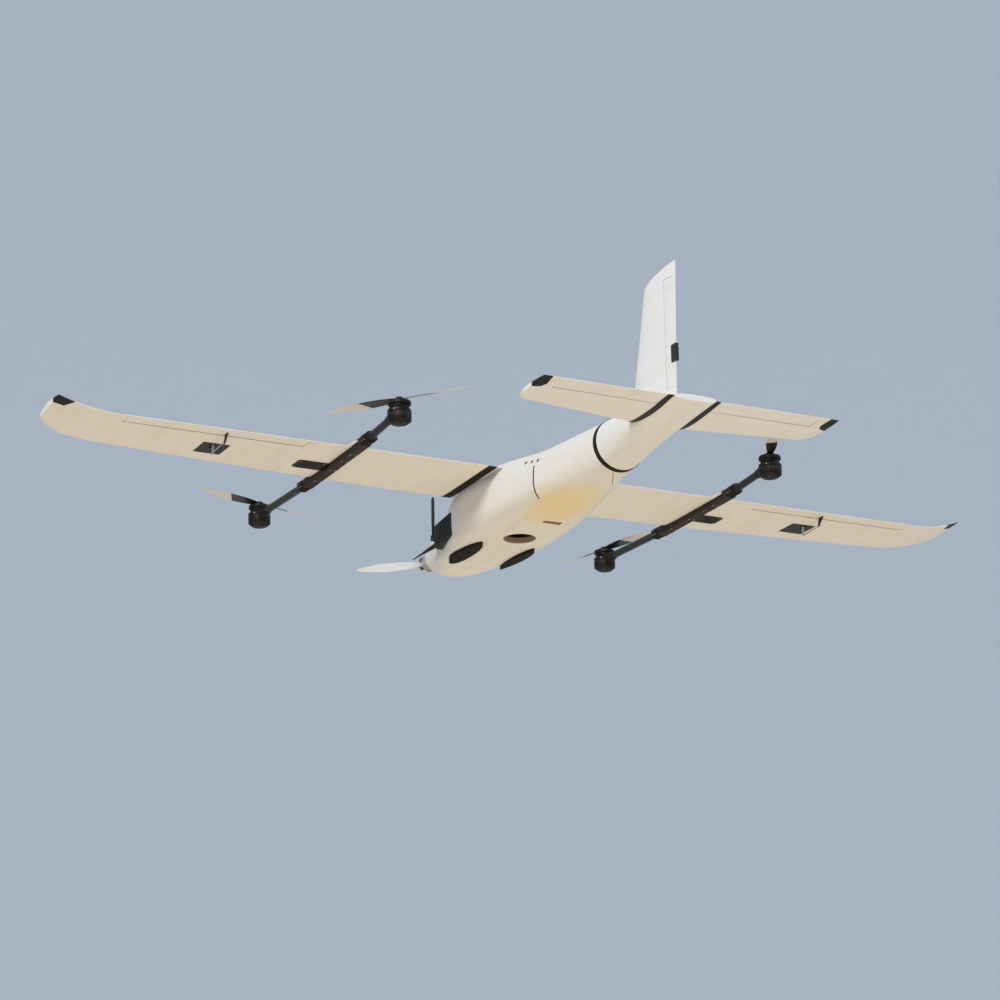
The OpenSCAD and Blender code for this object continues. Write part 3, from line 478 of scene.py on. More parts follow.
def key_value(keys, y, c):
    """Column c of a key table at y, on a smooth curve through the keys."""
    i = 0
    while i < len(keys) - 2 and y >= keys[i + 1][0]:
        i += 1

    def slope(k):
        a, b = max(k - 1, 0), min(k + 1, len(keys) - 1)
        return (keys[b][c] - keys[a][c]) / (keys[b][0] - keys[a][0])
    h = keys[i + 1][0] - keys[i][0]
    t = (y - keys[i][0]) / h
    return ((2 * t**3 - 3 * t**2 + 1) * keys[i][c] + (3 * t**2 - 2 * t**3) * keys[i + 1][c]
            + (t**3 - 2 * t**2 + t) * h * slope(i) + (t**3 - t**2) * h * slope(i + 1))


def body_point(keys, y, angle, grow=0.0):
    """Point of a body's skin at a station and an angle from port, counter-clockwise seen from the tail."""
    w = key_value(keys, y, 1) + grow
    top = key_value(keys, y, 2) + grow
    bottom = key_value(keys, y, 3) - grow
    c, s = math.cos(angle), math.sin(angle)
    e = 2 / key_value(keys, y, 4 if s >= 0 else 5)
    return (w * math.copysign(abs(c) ** e, c), y,
            (top + bottom) / 2 + (top - bottom) / 2 * math.copysign(abs(s) ** e, s))


def body_solid(name, keys, y0, y1, rings, grow=0.0, sides=128, mat=None):
    stations = [y0 + (y1 - y0) * i / rings for i in range(rings + 1)]
    return loft(name, [[body_point(keys, y, 2 * math.pi * j / sides, grow) for j in range(sides)]
                       for y in stations], mat)


def half_thick(u, t):
    return 5 * t * (0.2969 * math.sqrt(u) - 0.126 * u - 0.3516 * u**2 + 0.2843 * u**3 - 0.1036 * u**4)


def camber(u, m):
    return m / 0.16 * (0.8 * u - u * u) if u < 0.4 else m / 0.36 * (0.2 + 0.8 * u - u * u)


def foil_z(u, c, z, up, t, m, s):
    return z + up * (1 - u) + (camber(u, m) + s * half_thick(u, t)) * c + s * EDGE * u


def foil(le, c, z, up, t, m, n=34):
    """Wing section from the upper trailing edge, round the nose, to the lower trailing edge."""
    upper = [(1 + math.cos(math.pi * i / n)) / 2 for i in range(n + 1)]
    lower = [(1 - math.cos(math.pi * i / n)) / 2 for i in range(1, n + 1)]
    return ([(le + u * c, foil_z(u, c, z, up, t, m, 1)) for u in upper]
            + [(le + u * c, foil_z(u, c, z, up, t, m, -1)) for u in lower])


def past(x, start, length):
    return max(0.0, (x - start) / length)


def wing_te_y(x):
    return WING_TE - TE_IN * past(x, HALF - TE_ROUND, TE_ROUND) ** 2


def wing_le_y(x):
    base = WING_LE + LE_SWEEP * past(x, WING_X, HALF - WING_X) ** 1.6
    v = min(1.0, past(x, HALF - TIP_ROUND, TIP_ROUND))
    return base + (wing_te_y(x) - TIP_CHORD - base) * (1 - math.sqrt(1 - v * v))


def wing_section(x, n=34):
    bend = past(x, HALF - TIP_BEND, TIP_BEND) ** 2
    return foil(wing_le_y(x), wing_te_y(x) - wing_le_y(x), WING_Z + TIP_RISE * bend,
                LE_UP + (TIP_RISE_LE - TIP_RISE) * bend, THICK, CAMBER, n)


def wing_side(x, y, s):
    """Height of the wing's upper (s = 1) or lower (s = -1) surface, inboard of the bend."""
    c = wing_te_y(x) - wing_le_y(x)
    return foil_z((y - wing_le_y(x)) / c, c, WING_Z, LE_UP, THICK, CAMBER, s)


def under(x, y):
    return wing_side(x, y, -1)


def rounded(w, y0, y1, r, grow=0.0, steps=8):
    """Rounded rectangle, centred in x."""
    hx, y0, y1, r = w / 2 + grow, y0 - grow, y1 + grow, r + grow
    out = []
    for cx, cy, start in ((hx - r, y1 - r, 0), (r - hx, y1 - r, 90), (r - hx, y0 + r, 180),
                          (hx - r, y0 + r, 270)):
        for i in range(steps + 1):
            a = math.radians(start + 90 * i / steps)
            out.append((cx + r * math.cos(a), cy + r * math.sin(a)))
    return out


def rod(name, a, b, r, steps=48, ease=0.3, mat=None):
    """A round bar between two points."""
    a, b = Vector(a), Vector(b)
    return lathe(name, disc_profile(r, 0, (b - a).length, min(ease, r * 0.4)), a, b - a, steps, mat)


# ---------------------------------------------------------------- fuselage

HATCH = (140, -330, 120, 24)
BELLY_DOOR = (120, 62, 154, 10)
HATCH_GAP = 0.5
LATCH_X, LATCH_Y, LATCH_SLOT = -14, 145, (40, 8)
PORT_R, PORT_WALL = 38, 2
SPAR = (-50, 139.731, 8, 430)
REAR_SPAR = (50, 134.134, 4, 260)


def fuselage_wall(name):
    wall = body_solid(name, FUSE, -NOSE_LEN, JOINT_Y - SEAT, 150)
    glove = loft("glove", [[(x, y, z) for y, z in foil(WING_LE, ROOT_CHORD, WING_Z, LE_UP, THICK, CAMBER)]
                           for x in (-GLOVE_X, GLOVE_X)])
    fuse(wall, glove)
    return cut(wall, body_solid("inside", FUSE, -NOSE_LEN + SKIN_T + 1, JOINT_Y - SEAT, 150, -SKIN_T),
               rod("mouth", (0, JOINT_Y - 1, JOINT_Z), (0, JOINT_Y + 2, JOINT_Z), JOINT_R - SKIN_T, ease=0))


def door_wall(name):
    wall = body_solid(name, FUSE, -NOSE_LEN, JOINT_Y - SEAT, 150)
    return cut(wall, body_solid("inside", FUSE, -NOSE_LEN + SKIN_T + 1, JOINT_Y - SEAT, 150, -SKIN_T))


shell = fuselage_wall("fuselage_skin")
cut(shell,
    prism("hatch_hole", rounded(*HATCH, HATCH_GAP), FUSE_H / 2, FUSE_H * 1.5),
    prism("door_hole", rounded(*BELLY_DOOR, HATCH_GAP), -10, 30),
    rod("port_hole", (0, 0, -10), (0, 0, 30), PORT_R + PORT_WALL + SEAT, 96, 0),
    rod("spar_hole", (-SPAR[3], SPAR[0], SPAR[1]), (SPAR[3], SPAR[0], SPAR[1]), SPAR[2] + SEAT, 32, 0),
    rod("rear_spar_hole", (-REAR_SPAR[3], REAR_SPAR[0], REAR_SPAR[1]),
        (REAR_SPAR[3], REAR_SPAR[0], REAR_SPAR[1]), REAR_SPAR[2] + SEAT, 32, 0))
piece(shell, "airframe", ("fuselage_shell",), BELLY)

deck = common(door_wall("deck_hatch"), prism("deck_outline", rounded(*HATCH), FUSE_H / 2, FUSE_H * 1.5))
piece(deck, "deck_hatch", ("top_hatch",), SKIN)
door = common(door_wall("belly_door"), prism("door_outline", rounded(*BELLY_DOOR), -10, 30))
cut(door, box("slot", (LATCH_X - LATCH_SLOT[0] / 2, LATCH_X + LATCH_SLOT[0] / 2),
              (LATCH_Y - LATCH_SLOT[1] / 2, LATCH_Y + LATCH_SLOT[1] / 2), (-15, 15)))
piece(door, "belly_door", ("belly_hatch",), BELLY)
surround = prism("latch_surround", [(LATCH_X + x, y) for x,
                                    y in rounded(LATCH_SLOT[0] + 6, LATCH_Y - 7, LATCH_Y + 7, 3)],
                 -0.7, 0.3)
cut(surround, box("slot", (LATCH_X - LATCH_SLOT[0] / 2, LATCH_X + LATCH_SLOT[0] / 2),
                  (LATCH_Y - LATCH_SLOT[1] / 2, LATCH_Y + LATCH_SLOT[1] / 2), (-15, 15)))
piece(surround, "belly_door", (), LATCH, 35)

cone = body_solid("tail_cone_skin", TAIL, TAIL_Y + SEAT, TAIL_END, 70)
piece(cone, "airframe", ("tail_cone",), TAIL_SKIN, 40)

for sign, name in SIDES:
    rib = loft("root_rib_skin_" + name, [[(sign * x, y, z) for y,
                                          z in foil(WING_LE, ROOT_CHORD, WING_Z, LE_UP, THICK, CAMBER)]
                                    for x in (GLOVE_X + SEAT, WING_X)])
    piece(rib, "airframe", ("root_rib_" + name,), PLATE, 32, 0.4)


# ---------------------------------------------------------------- wings

AIL_OUT, AIL_LEN, AIL_CHORD = HALF - 160, 440, 45
AIL_IN, AIL_Y, AIL_Z, AIL_R = AIL_OUT - AIL_LEN, WING_TE - AIL_CHORD, 130.654, 5.2
FLAP_GAP, END_GAP = 0.6, 0.8
SERVO_X, SERVO_Y, SERVO_Z = HALF - 405, 12, 127.956
COVER, COVER_X, COVER_Y = (65, 72, 1.6), SERVO_X - 5, -8
CAP = 46
TE_TIP = wing_te_y(HALF)


def flap_ring(y, z, r, te, te_z, steps=14):
    """Section of a control surface: round nose on its hinge axis, straight to its trailing edge."""
    nose = [math.radians(90 + 180 * i / steps) for i in range(steps + 1)]
    return [(y + r * math.cos(a), z + r * math.sin(a)) for a in nose] + [(te, te_z - EDGE), (te, te_z + EDGE)]


def tip_corner(grow):
    """The trailing corner of the tip, as a prism."""
    return prism("corner", [(HALF - CAP * 0.95 - grow, TE_TIP + 30),
                            (HALF - CAP * 0.5 - grow, TE_TIP - CAP * 0.75),
                            (HALF + 5, TE_TIP - CAP * 0.95 - grow), (HALF + 5, TE_TIP + 30)],
                 WING_Z - 20, WING_Z + 93)


def wing_solid(name):
    straight = [WING_X + SEAT + (HALF - TIP_BEND - WING_X) * i / 44 for i in range(44)]
    bent = [HALF - TIP_BEND + TIP_BEND * math.sin(math.pi / 2 * i / 34) for i in range(35)]
    return loft(name, [[(x, y, z) for y, z in wing_section(x)] for x in straight + bent])


cover_tilt = math.atan2(under(COVER_X, COVER_Y + COVER[1] / 2) - under(COVER_X, COVER_Y - COVER[1] / 2),
                        COVER[1])
on_cover = Matrix.Translation(Vector((COVER_X, COVER_Y, under(COVER_X, COVER_Y))) * MM) @ \
    Matrix.Rotation(cover_tilt, 4, "X")


def cover_plate(name, w, d, h, r):
    plate = prism(name, rounded(w, -d / 2, d / 2, r), -h / 2, h / 2)
    plate.data.transform(on_cover)
    return plate


wing = wing_solid("wing_skin_port")
cut(wing,
    rod("cove", (AIL_IN - END_GAP, AIL_Y, AIL_Z), (AIL_OUT + END_GAP, AIL_Y, AIL_Z), AIL_R + FLAP_GAP + 0.4,
        96, 0),
    box("cut_out", (AIL_IN - END_GAP, AIL_OUT + END_GAP), (AIL_Y - 0.8, WING_TE + 40),
        (AIL_Z - 40, AIL_Z + 40)),
    box("pocket", (SERVO_X - 5, SERVO_X + 20), (SERVO_Y - 40, SERVO_Y + 12), (SERVO_Z - 23, SERVO_Z + 16)),
    cover_plate("recess", COVER[0] + 0.4, COVER[1] + 0.4, COVER[2] + 0.4, 3),
    tip_corner(SEAT),
    rod("spar_hole", (0, SPAR[0], SPAR[1]), (SPAR[3], SPAR[0], SPAR[1]), SPAR[2] + SEAT, 32, 0),
    rod("rear_spar_hole", (0, REAR_SPAR[0], REAR_SPAR[1]), (REAR_SPAR[3], REAR_SPAR[0], REAR_SPAR[1]),
        REAR_SPAR[2] + SEAT, 32, 0))
piece(mirrored(wing, "wing_skin_starboard"), "airframe", ("wing_starboard",), SKIN)
piece(wing, "airframe", ("wing_port",), SKIN)

cap = common(wing_solid("tip_cap_port"), tip_corner(0))
piece(mirrored(cap, "tip_cap_starboard"), "airframe", (), BLACK, 32)
piece(cap, "airframe", ("wing_tip_caps",), BLACK, 32)

for sign, name in SIDES:
    xs = [AIL_IN + AIL_LEN * i / 24 for i in range(25)]
    surface = loft("aileron_skin_" + name,
                   [[(sign * x, y, z) for y, z in flap_ring(AIL_Y, AIL_Z, AIL_R, wing_te_y(x), WING_Z)]
                    for x in xs])
    piece(surface, "aileron_%s_surface" % name, ("aileron_" + name,), SKIN, 40)

# ---------------------------------------------------------------- tail

ST, STAB_X, STAB_TIP, STAB_LE, STAB_TE = 0.09, JOINT_R + 4, 368, 672, 860
STAB_ROUND, ELEV_Y, ELEV_ROD_R = 24, 808, 3
ELEV_IN, ELEV_OUT = STAB_X + 1, STAB_TIP - 45


def stab_u(x):
    return past(x, STAB_X, STAB_TIP - STAB_X)


def stab_section(x, t, n=24):
    v = min(1.0, past(x, STAB_TIP - STAB_ROUND, STAB_ROUND))
    le = STAB_LE + 42 * stab_u(x) + 50 * (1 - math.sqrt(1 - v * v))
    return foil(le, STAB_TE - le, STAB_Z, 0, t, 0, n)


def elevator_solid(name, longer=0.0, grow=0.0):
    xs = [ELEV_IN - longer + (ELEV_OUT - ELEV_IN + 2 * longer) * i / 14 for i in range(15)]
    base = [ELEV_IN - longer, ELEV_OUT + longer]
    r = [4.8 - 1.8 * stab_u(x) + grow for x in base]
    return loft(name, [[(x, y, z) for y, z in flap_ring(
        ELEV_Y, STAB_Z, r[0] + (r[1] - r[0]) * (x - base[0]) / (base[1] - base[0]), STAB_TE, STAB_Z)]
        for x in xs])


def stab_solid(name):
    straight = [STAB_X + (STAB_TIP - STAB_ROUND - STAB_X) * i / 16 for i in range(16)]
    bent = [STAB_TIP - STAB_ROUND + STAB_ROUND * math.sin(math.pi / 2 * i / 16) for i in range(17)]
    return loft(name, [[(x, y, z) for y, z in stab_section(x, ST)] for x in straight + bent])


def patch_corner(grow):
    """The trailing corner of the stabiliser's tip, as a prism."""
    return prism("corner", [(STAB_TIP - 20 - grow, STAB_TE + 10), (STAB_TIP - 25 - grow, 822),
                            (STAB_TIP - 18, 806 - grow),
                            (STAB_TIP + 5, 796 - grow), (STAB_TIP + 5, STAB_TE + 10)], STAB_Z - 30,
                            STAB_Z + 30)


stab = stab_solid("stab_skin_port")
cut(stab, elevator_solid("cove", END_GAP, FLAP_GAP),
    box("cut_out", (STAB_X - 1, ELEV_OUT + END_GAP), (ELEV_Y, STAB_TE + 20), (STAB_Z - 30, STAB_Z + 30)),
    rod("rod_way", (STAB_X - 1, ELEV_Y, STAB_Z), (ELEV_IN, ELEV_Y, STAB_Z), ELEV_ROD_R + FLAP_GAP, 32, 0))
for kind, tool in (("stab_tip_patch_port", common), ("stab_skin_port", cut)):
    part = stab if kind == "stab_skin_port" else copy_of(stab, kind)
    tool(part, patch_corner(0 if tool is common else 0.05))
    if part is stab:
        piece(mirrored(part, "stab_skin_starboard"), "airframe", ("stab_starboard",), TAIL_SKIN)
        piece(part, "airframe", ("stab_port",), TAIL_SKIN)
    else:
        piece(mirrored(part, "stab_tip_patch_starboard"), "airframe", (), BLACK)
        piece(part, "airframe", (), BLACK)

flap = elevator_solid("elevator_skin_port")
piece(mirrored(flap, "elevator_skin_starboard"), "elevators", ("elevator_starboard",), TAIL_SKIN, 40)
piece(flap, "elevators", ("elevator_port",), TAIL_SKIN, 40)

FIN_LE, FIN_TE, FIN_BASE, FIN_TOP = 571, 779, 88, 426
FIN_SHOULDER, LE_LEAN, TE_LEAN = FIN_TOP - 29, 80, 15
RUDDER_Y, RUDDER_R, RUDDER_BOTTOM, RUDDER_TOP = 745, 3.8, 132, FIN_TOP - 33
LINK_Z, RUDDER_SERVO_Y = 210, 700


def fin_te_y(z):
    return FIN_TE + TE_LEAN * (z - FIN_BASE) / (FIN_TOP - FIN_BASE)


def fin_le_y(z):
    if z <= FIN_SHOULDER:
        return FIN_LE + LE_LEAN * (z - FIN_BASE) / (FIN_SHOULDER - FIN_BASE)
    a = math.asin((z - FIN_SHOULDER) / (FIN_TOP - FIN_SHOULDER))
    return FIN_LE + LE_LEAN + (FIN_TE + TE_LEAN - FIN_LE - LE_LEAN) * (1 - math.cos(a))


def fin_solid(name):
    zs = [FIN_BASE + (FIN_SHOULDER - FIN_BASE) * i / 22 for i in range(22)]
    zs += [FIN_SHOULDER + (FIN_TOP - FIN_SHOULDER) * math.sin(math.radians(77 * i / 21)) for i in range(22)]
    return loft(name, [[(-x, y, z) for y, x in foil(fin_le_y(z), fin_te_y(z) - fin_le_y(z), 0, 0, ST * 1.1,
                                                    0, 26)]
                       for z in zs])


def rudder_solid(name, grow=0.0):
    zs = [RUDDER_BOTTOM + (RUDDER_TOP - RUDDER_BOTTOM) * i / 14 for i in range(15)]
    return loft(name, [[(-x, y, z) for y, x in flap_ring(RUDDER_Y, 0, RUDDER_R + grow, fin_te_y(z) + grow, 0)]
                       for z in zs])


fin = fin_solid("fin_skin")
cut(fin, body_solid("tail_body", TAIL, TAIL_Y + SEAT, TAIL_END, 40, SEAT, 96),
    rod("cove", (0, RUDDER_Y, RUDDER_BOTTOM - END_GAP), (0, RUDDER_Y, RUDDER_TOP + END_GAP),
        RUDDER_R + FLAP_GAP, 48, 0),
    box("cut_out", (-30, 30), (RUDDER_Y, FIN_TE + 60), (RUDDER_BOTTOM - END_GAP, RUDDER_TOP + END_GAP)),
    box("servo_room", (-20, 6.2), (RUDDER_SERVO_Y - 22, RUDDER_SERVO_Y + 8), (LINK_Z - 18, LINK_Z + 8)))
piece(fin, "airframe", ("fin",), TAIL_SKIN)
piece(rudder_solid("rudder_skin"), "rudder_surface", ("rudder",), TAIL_SKIN, 40)


# ---------------------------------------------------------------- small hardware

def placed(at, direction=(0, 0, 1), spin=0.0):
    """Matrix that puts a shape standing on the origin along +Z at a point, along a direction."""
    turn = Vector((0, 0, 1)).rotation_difference(Vector(direction))
    place = Matrix.Translation(Vector(at) * MM) @ turn.to_matrix().to_4x4()
    return place @ Matrix.Rotation(math.radians(spin), 4, "Z")


def screw_head(name, r=1.5, h=1.2, socket=0.8):
    """Button head with a hexagon socket, its underside on the origin."""
    dome = [(0, 0), (r, 0), (r, h * 0.35), (r * 0.86, h * 0.78), (r * 0.6, h), (0, h)]
    head = lathe(name, dome, steps=28, mat=STEEL)
    hexagon = [(socket * r * math.cos(math.radians(60 * i)) * 0.62,
                socket * r * math.sin(math.radians(60 * i)) * 0.62)
               for i in range(6)]
    return cut(head, prism("hex", hexagon, h * 0.4, h + 1))


def screws(name, places, body="airframe", r=1.5, h=1.2, mat=STEEL, lift=0.0):
    """One piece of equal screws, each place being a point and the direction its head faces."""
    master = screw_head("screw_master", r, h)
    copies = []
    for i, (at, direction) in enumerate(places):
        point = Vector(at) + Vector(direction).normalized() * lift
        copies.append(copy_of(master, "screw", placed(point, direction, 17 * i)))
    bpy.data.objects.remove(master)
    return piece(joined(name, copies), body, (), mat, 35)


def strip(name, points, normals, width, rise, body, mat, lift=0.02):
    """A thin raised bead along points that lie on a surface, given the surface's outward normals."""
    rings = []
    for i, (at, normal) in enumerate(zip(points, normals)):
        before, after = Vector(points[max(i - 1, 0)]), Vector(points[min(i + 1, len(points) - 1)])
        along = (after - before).normalized()
        up_way = Vector(normal).normalized()
        out = along.cross(up_way).normalized() * (width / 2)
        base = Vector(at) + up_way * lift
        top = base + up_way * rise
        rings.append([tuple(base - out), tuple(base + out), tuple(top + out * 0.6), tuple(top - out * 0.6)])
    return piece(loft(name, rings), body, (), mat, 35)


def body_normal(keys, y, angle):
    """Outward normal of a body's skin."""
    d = 0.01
    a = Vector(body_point(keys, y + 0.5, angle)) - Vector(body_point(keys, y - 0.5, angle))
    b = Vector(body_point(keys, y, angle + d)) - Vector(body_point(keys, y, angle - d))
    n = a.cross(b).normalized()
    c = Vector(body_point(keys, y, angle)) - Vector((0, y, 80))
    return n if n.dot(c) > 0 else -n


def halved(low, high, is_low, tries=40):
    """The ends, drawn together round the place where is_low stops holding."""
    for _ in range(tries):
        mid = (low + high) / 2
        low, high = (mid, high) if is_low(mid) else (low, mid)
    return low, high


def skin_angle(keys, y, value, axis):
    """Angle of the port skin at a height (axis 2), or of the lower port skin at an x (axis 0)."""
    low, high = halved(-math.pi / 2, 0.0 if axis == 0 else math.pi / 2,
                       lambda a: body_point(keys, y, a)[axis] < value)
    return (low + high) / 2


def on_skin(keys, y, value, axis, sign=1):
    """Point of a body's skin and its outward normal, on the side given by sign."""
    a = skin_angle(keys, y, value, axis)
    a = a if sign > 0 else math.pi - a
    return body_point(keys, y, a), tuple(body_normal(keys, y, a))


# ---------------------------------------------------------------- lift booms and pods

BOOM_X, BOOM_Z, ARM_FRONT, ARM_REAR, POD_Z = 485, 124, -160, 185, 135
FRONT_Y, REAR_Y, POD_R, TUBE_R = -469, 371, 27.5, 9
POD_LOW, POD_TOP, SOCKET, CLAMP = 105, 143, 34, 30
ENDS = {"front": (ARM_FRONT, FRONT_Y), "rear": (ARM_REAR, REAR_Y)}


def arm_frame(end):
    """Start of an arm at the saddle, its direction toward the pod, and its length to the pod's axis."""
    y0, y1 = ENDS[end]
    start, stop = Vector((BOOM_X, y0, BOOM_Z)), Vector((BOOM_X, y1, POD_Z))
    return start, (stop - start).normalized(), (stop - start).length


def arm_rod(name, end, s0, s1, r):
    start, way, _ = arm_frame(end)
    return rod(name, start + way * s0, start + way * s1, r, 48, 0)


def make_pod(end):
    y = ENDS[end][1]
    start, way, length = arm_frame(end)
    outline = [(0, POD_LOW), (17.5, POD_LOW), (19, POD_LOW + 0.5), (POD_R - 1.0, POD_LOW + 6.4),
               (POD_R, POD_LOW + 9),
               (POD_R, 128.5), (POD_R - 0.7, 129), (POD_R - 0.7, 130), (POD_R, 130.5), (POD_R, POD_TOP - 6),
               (POD_R - 3, POD_TOP - 3), (POD_R - 5, POD_TOP), (0, POD_TOP)]
    pod = lathe("pod", outline, (BOOM_X, y, 0), steps=72)
    neck = lathe("neck", [(0, 0), (TUBE_R + 1.2, 0), (TUBE_R + 1.8, 0.8), (TUBE_R + 2.1, 7),
                          (TUBE_R + 3.6, 16),
                          (TUBE_R + 6, SOCKET), (0, SOCKET)],
                 start + way * (length - POD_R - SOCKET + 5), way, 56)
    fuse(pod, neck)
    cut(pod, arm_rod("tube_way", end, -10, length - POD_R + SEAT, TUBE_R + 0.05),
        rod("shaft_way", (BOOM_X, y, POD_LOW + 15), (BOOM_X, y, POD_TOP + 1), 3.05, 32, 0))
    for i in range(4):
        a = math.radians(45 + 90 * i)
        at = Vector((BOOM_X + 13.5 * math.cos(a), y + 13.5 * math.sin(a), POD_LOW - 1))
        cut(pod, rod("well", at, at + Vector((0, 0, 2.4)), 2.2, 24, 0))
    for x_side in (-1, 1):
        x = BOOM_X + x_side * (POD_R - 1.2)
        cut(pod, box("vent", (x - 2, x + 2), (y - 9, y + 9), (118, 121)))
    return pod


for end in ENDS:
    y = ENDS[end][1]
    pod = make_pod(end)
    for sign, name in SIDES:
        twin = mirrored(pod, "pod") if sign < 0 else copy_of(pod, "pod")
        twin.name = "pod_skin_%s_%s" % (end, name)
        piece(twin, "airframe", ("pod_%s_%s" % (end, name),), BLACK, 30, 0.25)
        spots = [((sign * BOOM_X + 13.5 * math.cos(a), y + 13.5 * math.sin(a), POD_LOW + 1.35), (0, 0, -1))
                 for a in [math.radians(45 + 90 * i) for i in range(4)]]
        screws("pod_screws_%s_%s" % (end, name), spots, r=1.9, h=1.2)
        rim = [((sign * BOOM_X + POD_R * math.cos(a), y + POD_R * math.sin(a), 134),
                (math.cos(a), math.sin(a), 0))
               for a in [math.radians(40 + 100 * i) for i in range(4)] if abs(math.sin(a)) > 0.2]
        screws("pod_rim_screws_%s_%s" % (end, name), rim, r=1.6, h=0.9, lift=0.02)
    bpy.data.objects.remove(pod)

BAR_W, PLATE_W, PLATE_D = 27, 88, 52


def saddle_solid(name):
    hw, z0 = BAR_W / 2, BOOM_Z - 12
    outline = [(BOOM_X - hw + 3, z0), (BOOM_X + hw - 3, z0), (BOOM_X + hw, z0 + 3), (BOOM_X + hw, WING_Z + 7),
               (BOOM_X - hw, WING_Z + 7), (BOOM_X - hw, z0 + 3)]
    bar = prism(name, outline, ARM_FRONT, ARM_REAR, "y")
    low_z = under(BOOM_X, -PLATE_D / 2 - 1) - 2
    corner = 5
    plate = prism("plate", [(BOOM_X, -PLATE_D - 1), (BOOM_X + PLATE_W - corner, -PLATE_D - 1),
                            (BOOM_X + PLATE_W, -PLATE_D - 1 + corner), (BOOM_X + PLATE_W, -1 - corner),
                            (BOOM_X + PLATE_W - corner, -1), (BOOM_X, -1)], low_z, WING_Z + 4)
    ribs = [box("rib", (BOOM_X + hw + 6 + 14 * i, BOOM_X + hw + 8 + 14 * i), (-PLATE_D + 5, -7),
                (low_z - 0.8, low_z + 1))
            for i in range(5)]
    clamps = []
    for end in ENDS:
        start, way, _ = arm_frame(end)
        clamps.append(lathe("clamp", disc_profile(TUBE_R + 5, 0, CLAMP, 1.2), start, way, 56))
        for s0 in (3, CLAMP - 7):
            clamps.append(lathe("band", disc_profile(TUBE_R + 5.8, s0, s0 + 4, 0.5), start, way, 56))
        for side_sign in (-1, 1):
            lug = prism("lug", rounded(9, -6, 6, 1.6), 4, CLAMP - 4)
            turn = Vector((0, 0, 1)).rotation_difference(way)
            lug.data.transform(Matrix.Translation(start * MM) @ turn.to_matrix().to_4x4()
                               @ Matrix.Translation(Vector((side_sign * (TUBE_R + 4), 0, 0)) * MM))
            clamps.append(lug)
    fuse(bar, plate, *ribs, *clamps)
    xs = [BOOM_X - BAR_W + (PLATE_W + 10 + BAR_W) * i / 10 for i in range(11)]
    grown = loft("wing_room", [[(x, y, z) for y, z in foil(wing_le_y(x) - 3 * SEAT,
                                                           wing_te_y(x) - wing_le_y(x)
                                                          + 6 * SEAT, WING_Z - SEAT, LE_UP, THICK * 1.03,
                                                          CAMBER)]
                               for x in xs])
    cut(bar, grown, box("top_trim", (BOOM_X - BAR_W, BOOM_X + BAR_W), (30, WING_TE + 1),
                        (WING_Z - 1, WING_Z + 9)),
        arm_rod("front_way", "front", -12, 78, TUBE_R + SEAT),
        arm_rod("rear_way", "rear", -12, 78, TUBE_R + SEAT))
    return bar


saddle = saddle_solid("boom_saddle_skin_port")
piece(mirrored(saddle, "boom_saddle_skin_starboard"), "airframe", ("boom_saddle_starboard",), PLATE, 30)
piece(saddle, "airframe", ("boom_saddle_port",), PLATE, 30)
for sign, name in SIDES:
    bolts = []
    for end in ENDS:
        start, way, _ = arm_frame(end)
        below = Vector((0, -way.z, way.y)) * (-1 if way.y > 0 else 1)
        for side_sign in (-1, 1):
            for s0 in (9, CLAMP - 9):
                at = start + way * s0 + Vector((side_sign * (TUBE_R + 5), 0, 0)) + below * 6
                bolts.append(((sign * at.x, at.y, at.z), tuple(below)))
    low_z = under(BOOM_X, -PLATE_D / 2 - 1) - 2
    bolts += [((sign * (BOOM_X + x), y, low_z), (0, 0, -1)) for x in (PLATE_W - 7, 22)
              for y in (-PLATE_D + 5, -7)]
    bolts += [((sign * (BOOM_X + x), y, BOOM_Z - 12), (0, 0, -1)) for x in (-7, 7)
              for y in (-100, -10, 60, 110)]
    screws("saddle_bolts_" + name, bolts, r=1.7, h=1.3)
    for end in ENDS:
        start, way, length = arm_frame(end)
        tube = arm_rod("tube", end, -10, length - POD_R, TUBE_R)
        cut(tube, arm_rod("bore", end, -11, length, TUBE_R - 1.5))
        if sign < 0:
            flip(tube)
        tube.name = "boom_tube_%s_%s" % (end, name)
        piece(tube, "airframe", ("boom_arms_" + name,), CARBON)
        collar = lathe("collar", [(TUBE_R + 0.05, 0), (TUBE_R + 2.2, 0.6), (TUBE_R + 2.4, 6),
                                  (TUBE_R + 1.0, 9),
                                  (TUBE_R + 0.05, 9.4)], start + way * (CLAMP + 1.5), way, 48)
        if sign < 0:
            flip(collar)
        collar.name = "boom_collar_%s_%s" % (end, name)
        piece(collar, "airframe", (), BLACK, 40)


# ---------------------------------------------------------------- propellers

def blade_solid(name, r0, r1, chord, pitch0, pitch1, thick, n=30, m=22):
    """A blade along +X with a pointed tip, made of thin wing sections that twist along it."""
    rings = []
    for i in range(n + 1):
        u = i / n
        x = r0 + (r1 - r0) * u
        c = chord * (0.45 + 0.62 * math.sin(math.radians(150 * u ** 0.8))) * (1 - 0.78 * u ** 5)
        a = math.radians(pitch0 + (pitch1 - pitch0) * u)
        t = thick * (1 - 0.7 * u)
        ring = []
        for j in range(m):
            b = 2 * math.pi * j / m
            v = math.sin(b)
            across = c / 2 * math.cos(b)
            lift = t / 2 * v * (0.55 + 0.45 * math.cos(b)) + t * 0.25 * (1 - (2 * across / c) ** 2)
            ring.append((x, across * math.cos(a) - lift * math.sin(a),
                         across * math.sin(a) + lift * math.cos(a)))
        rings.append(ring)
    return loft(name, rings)


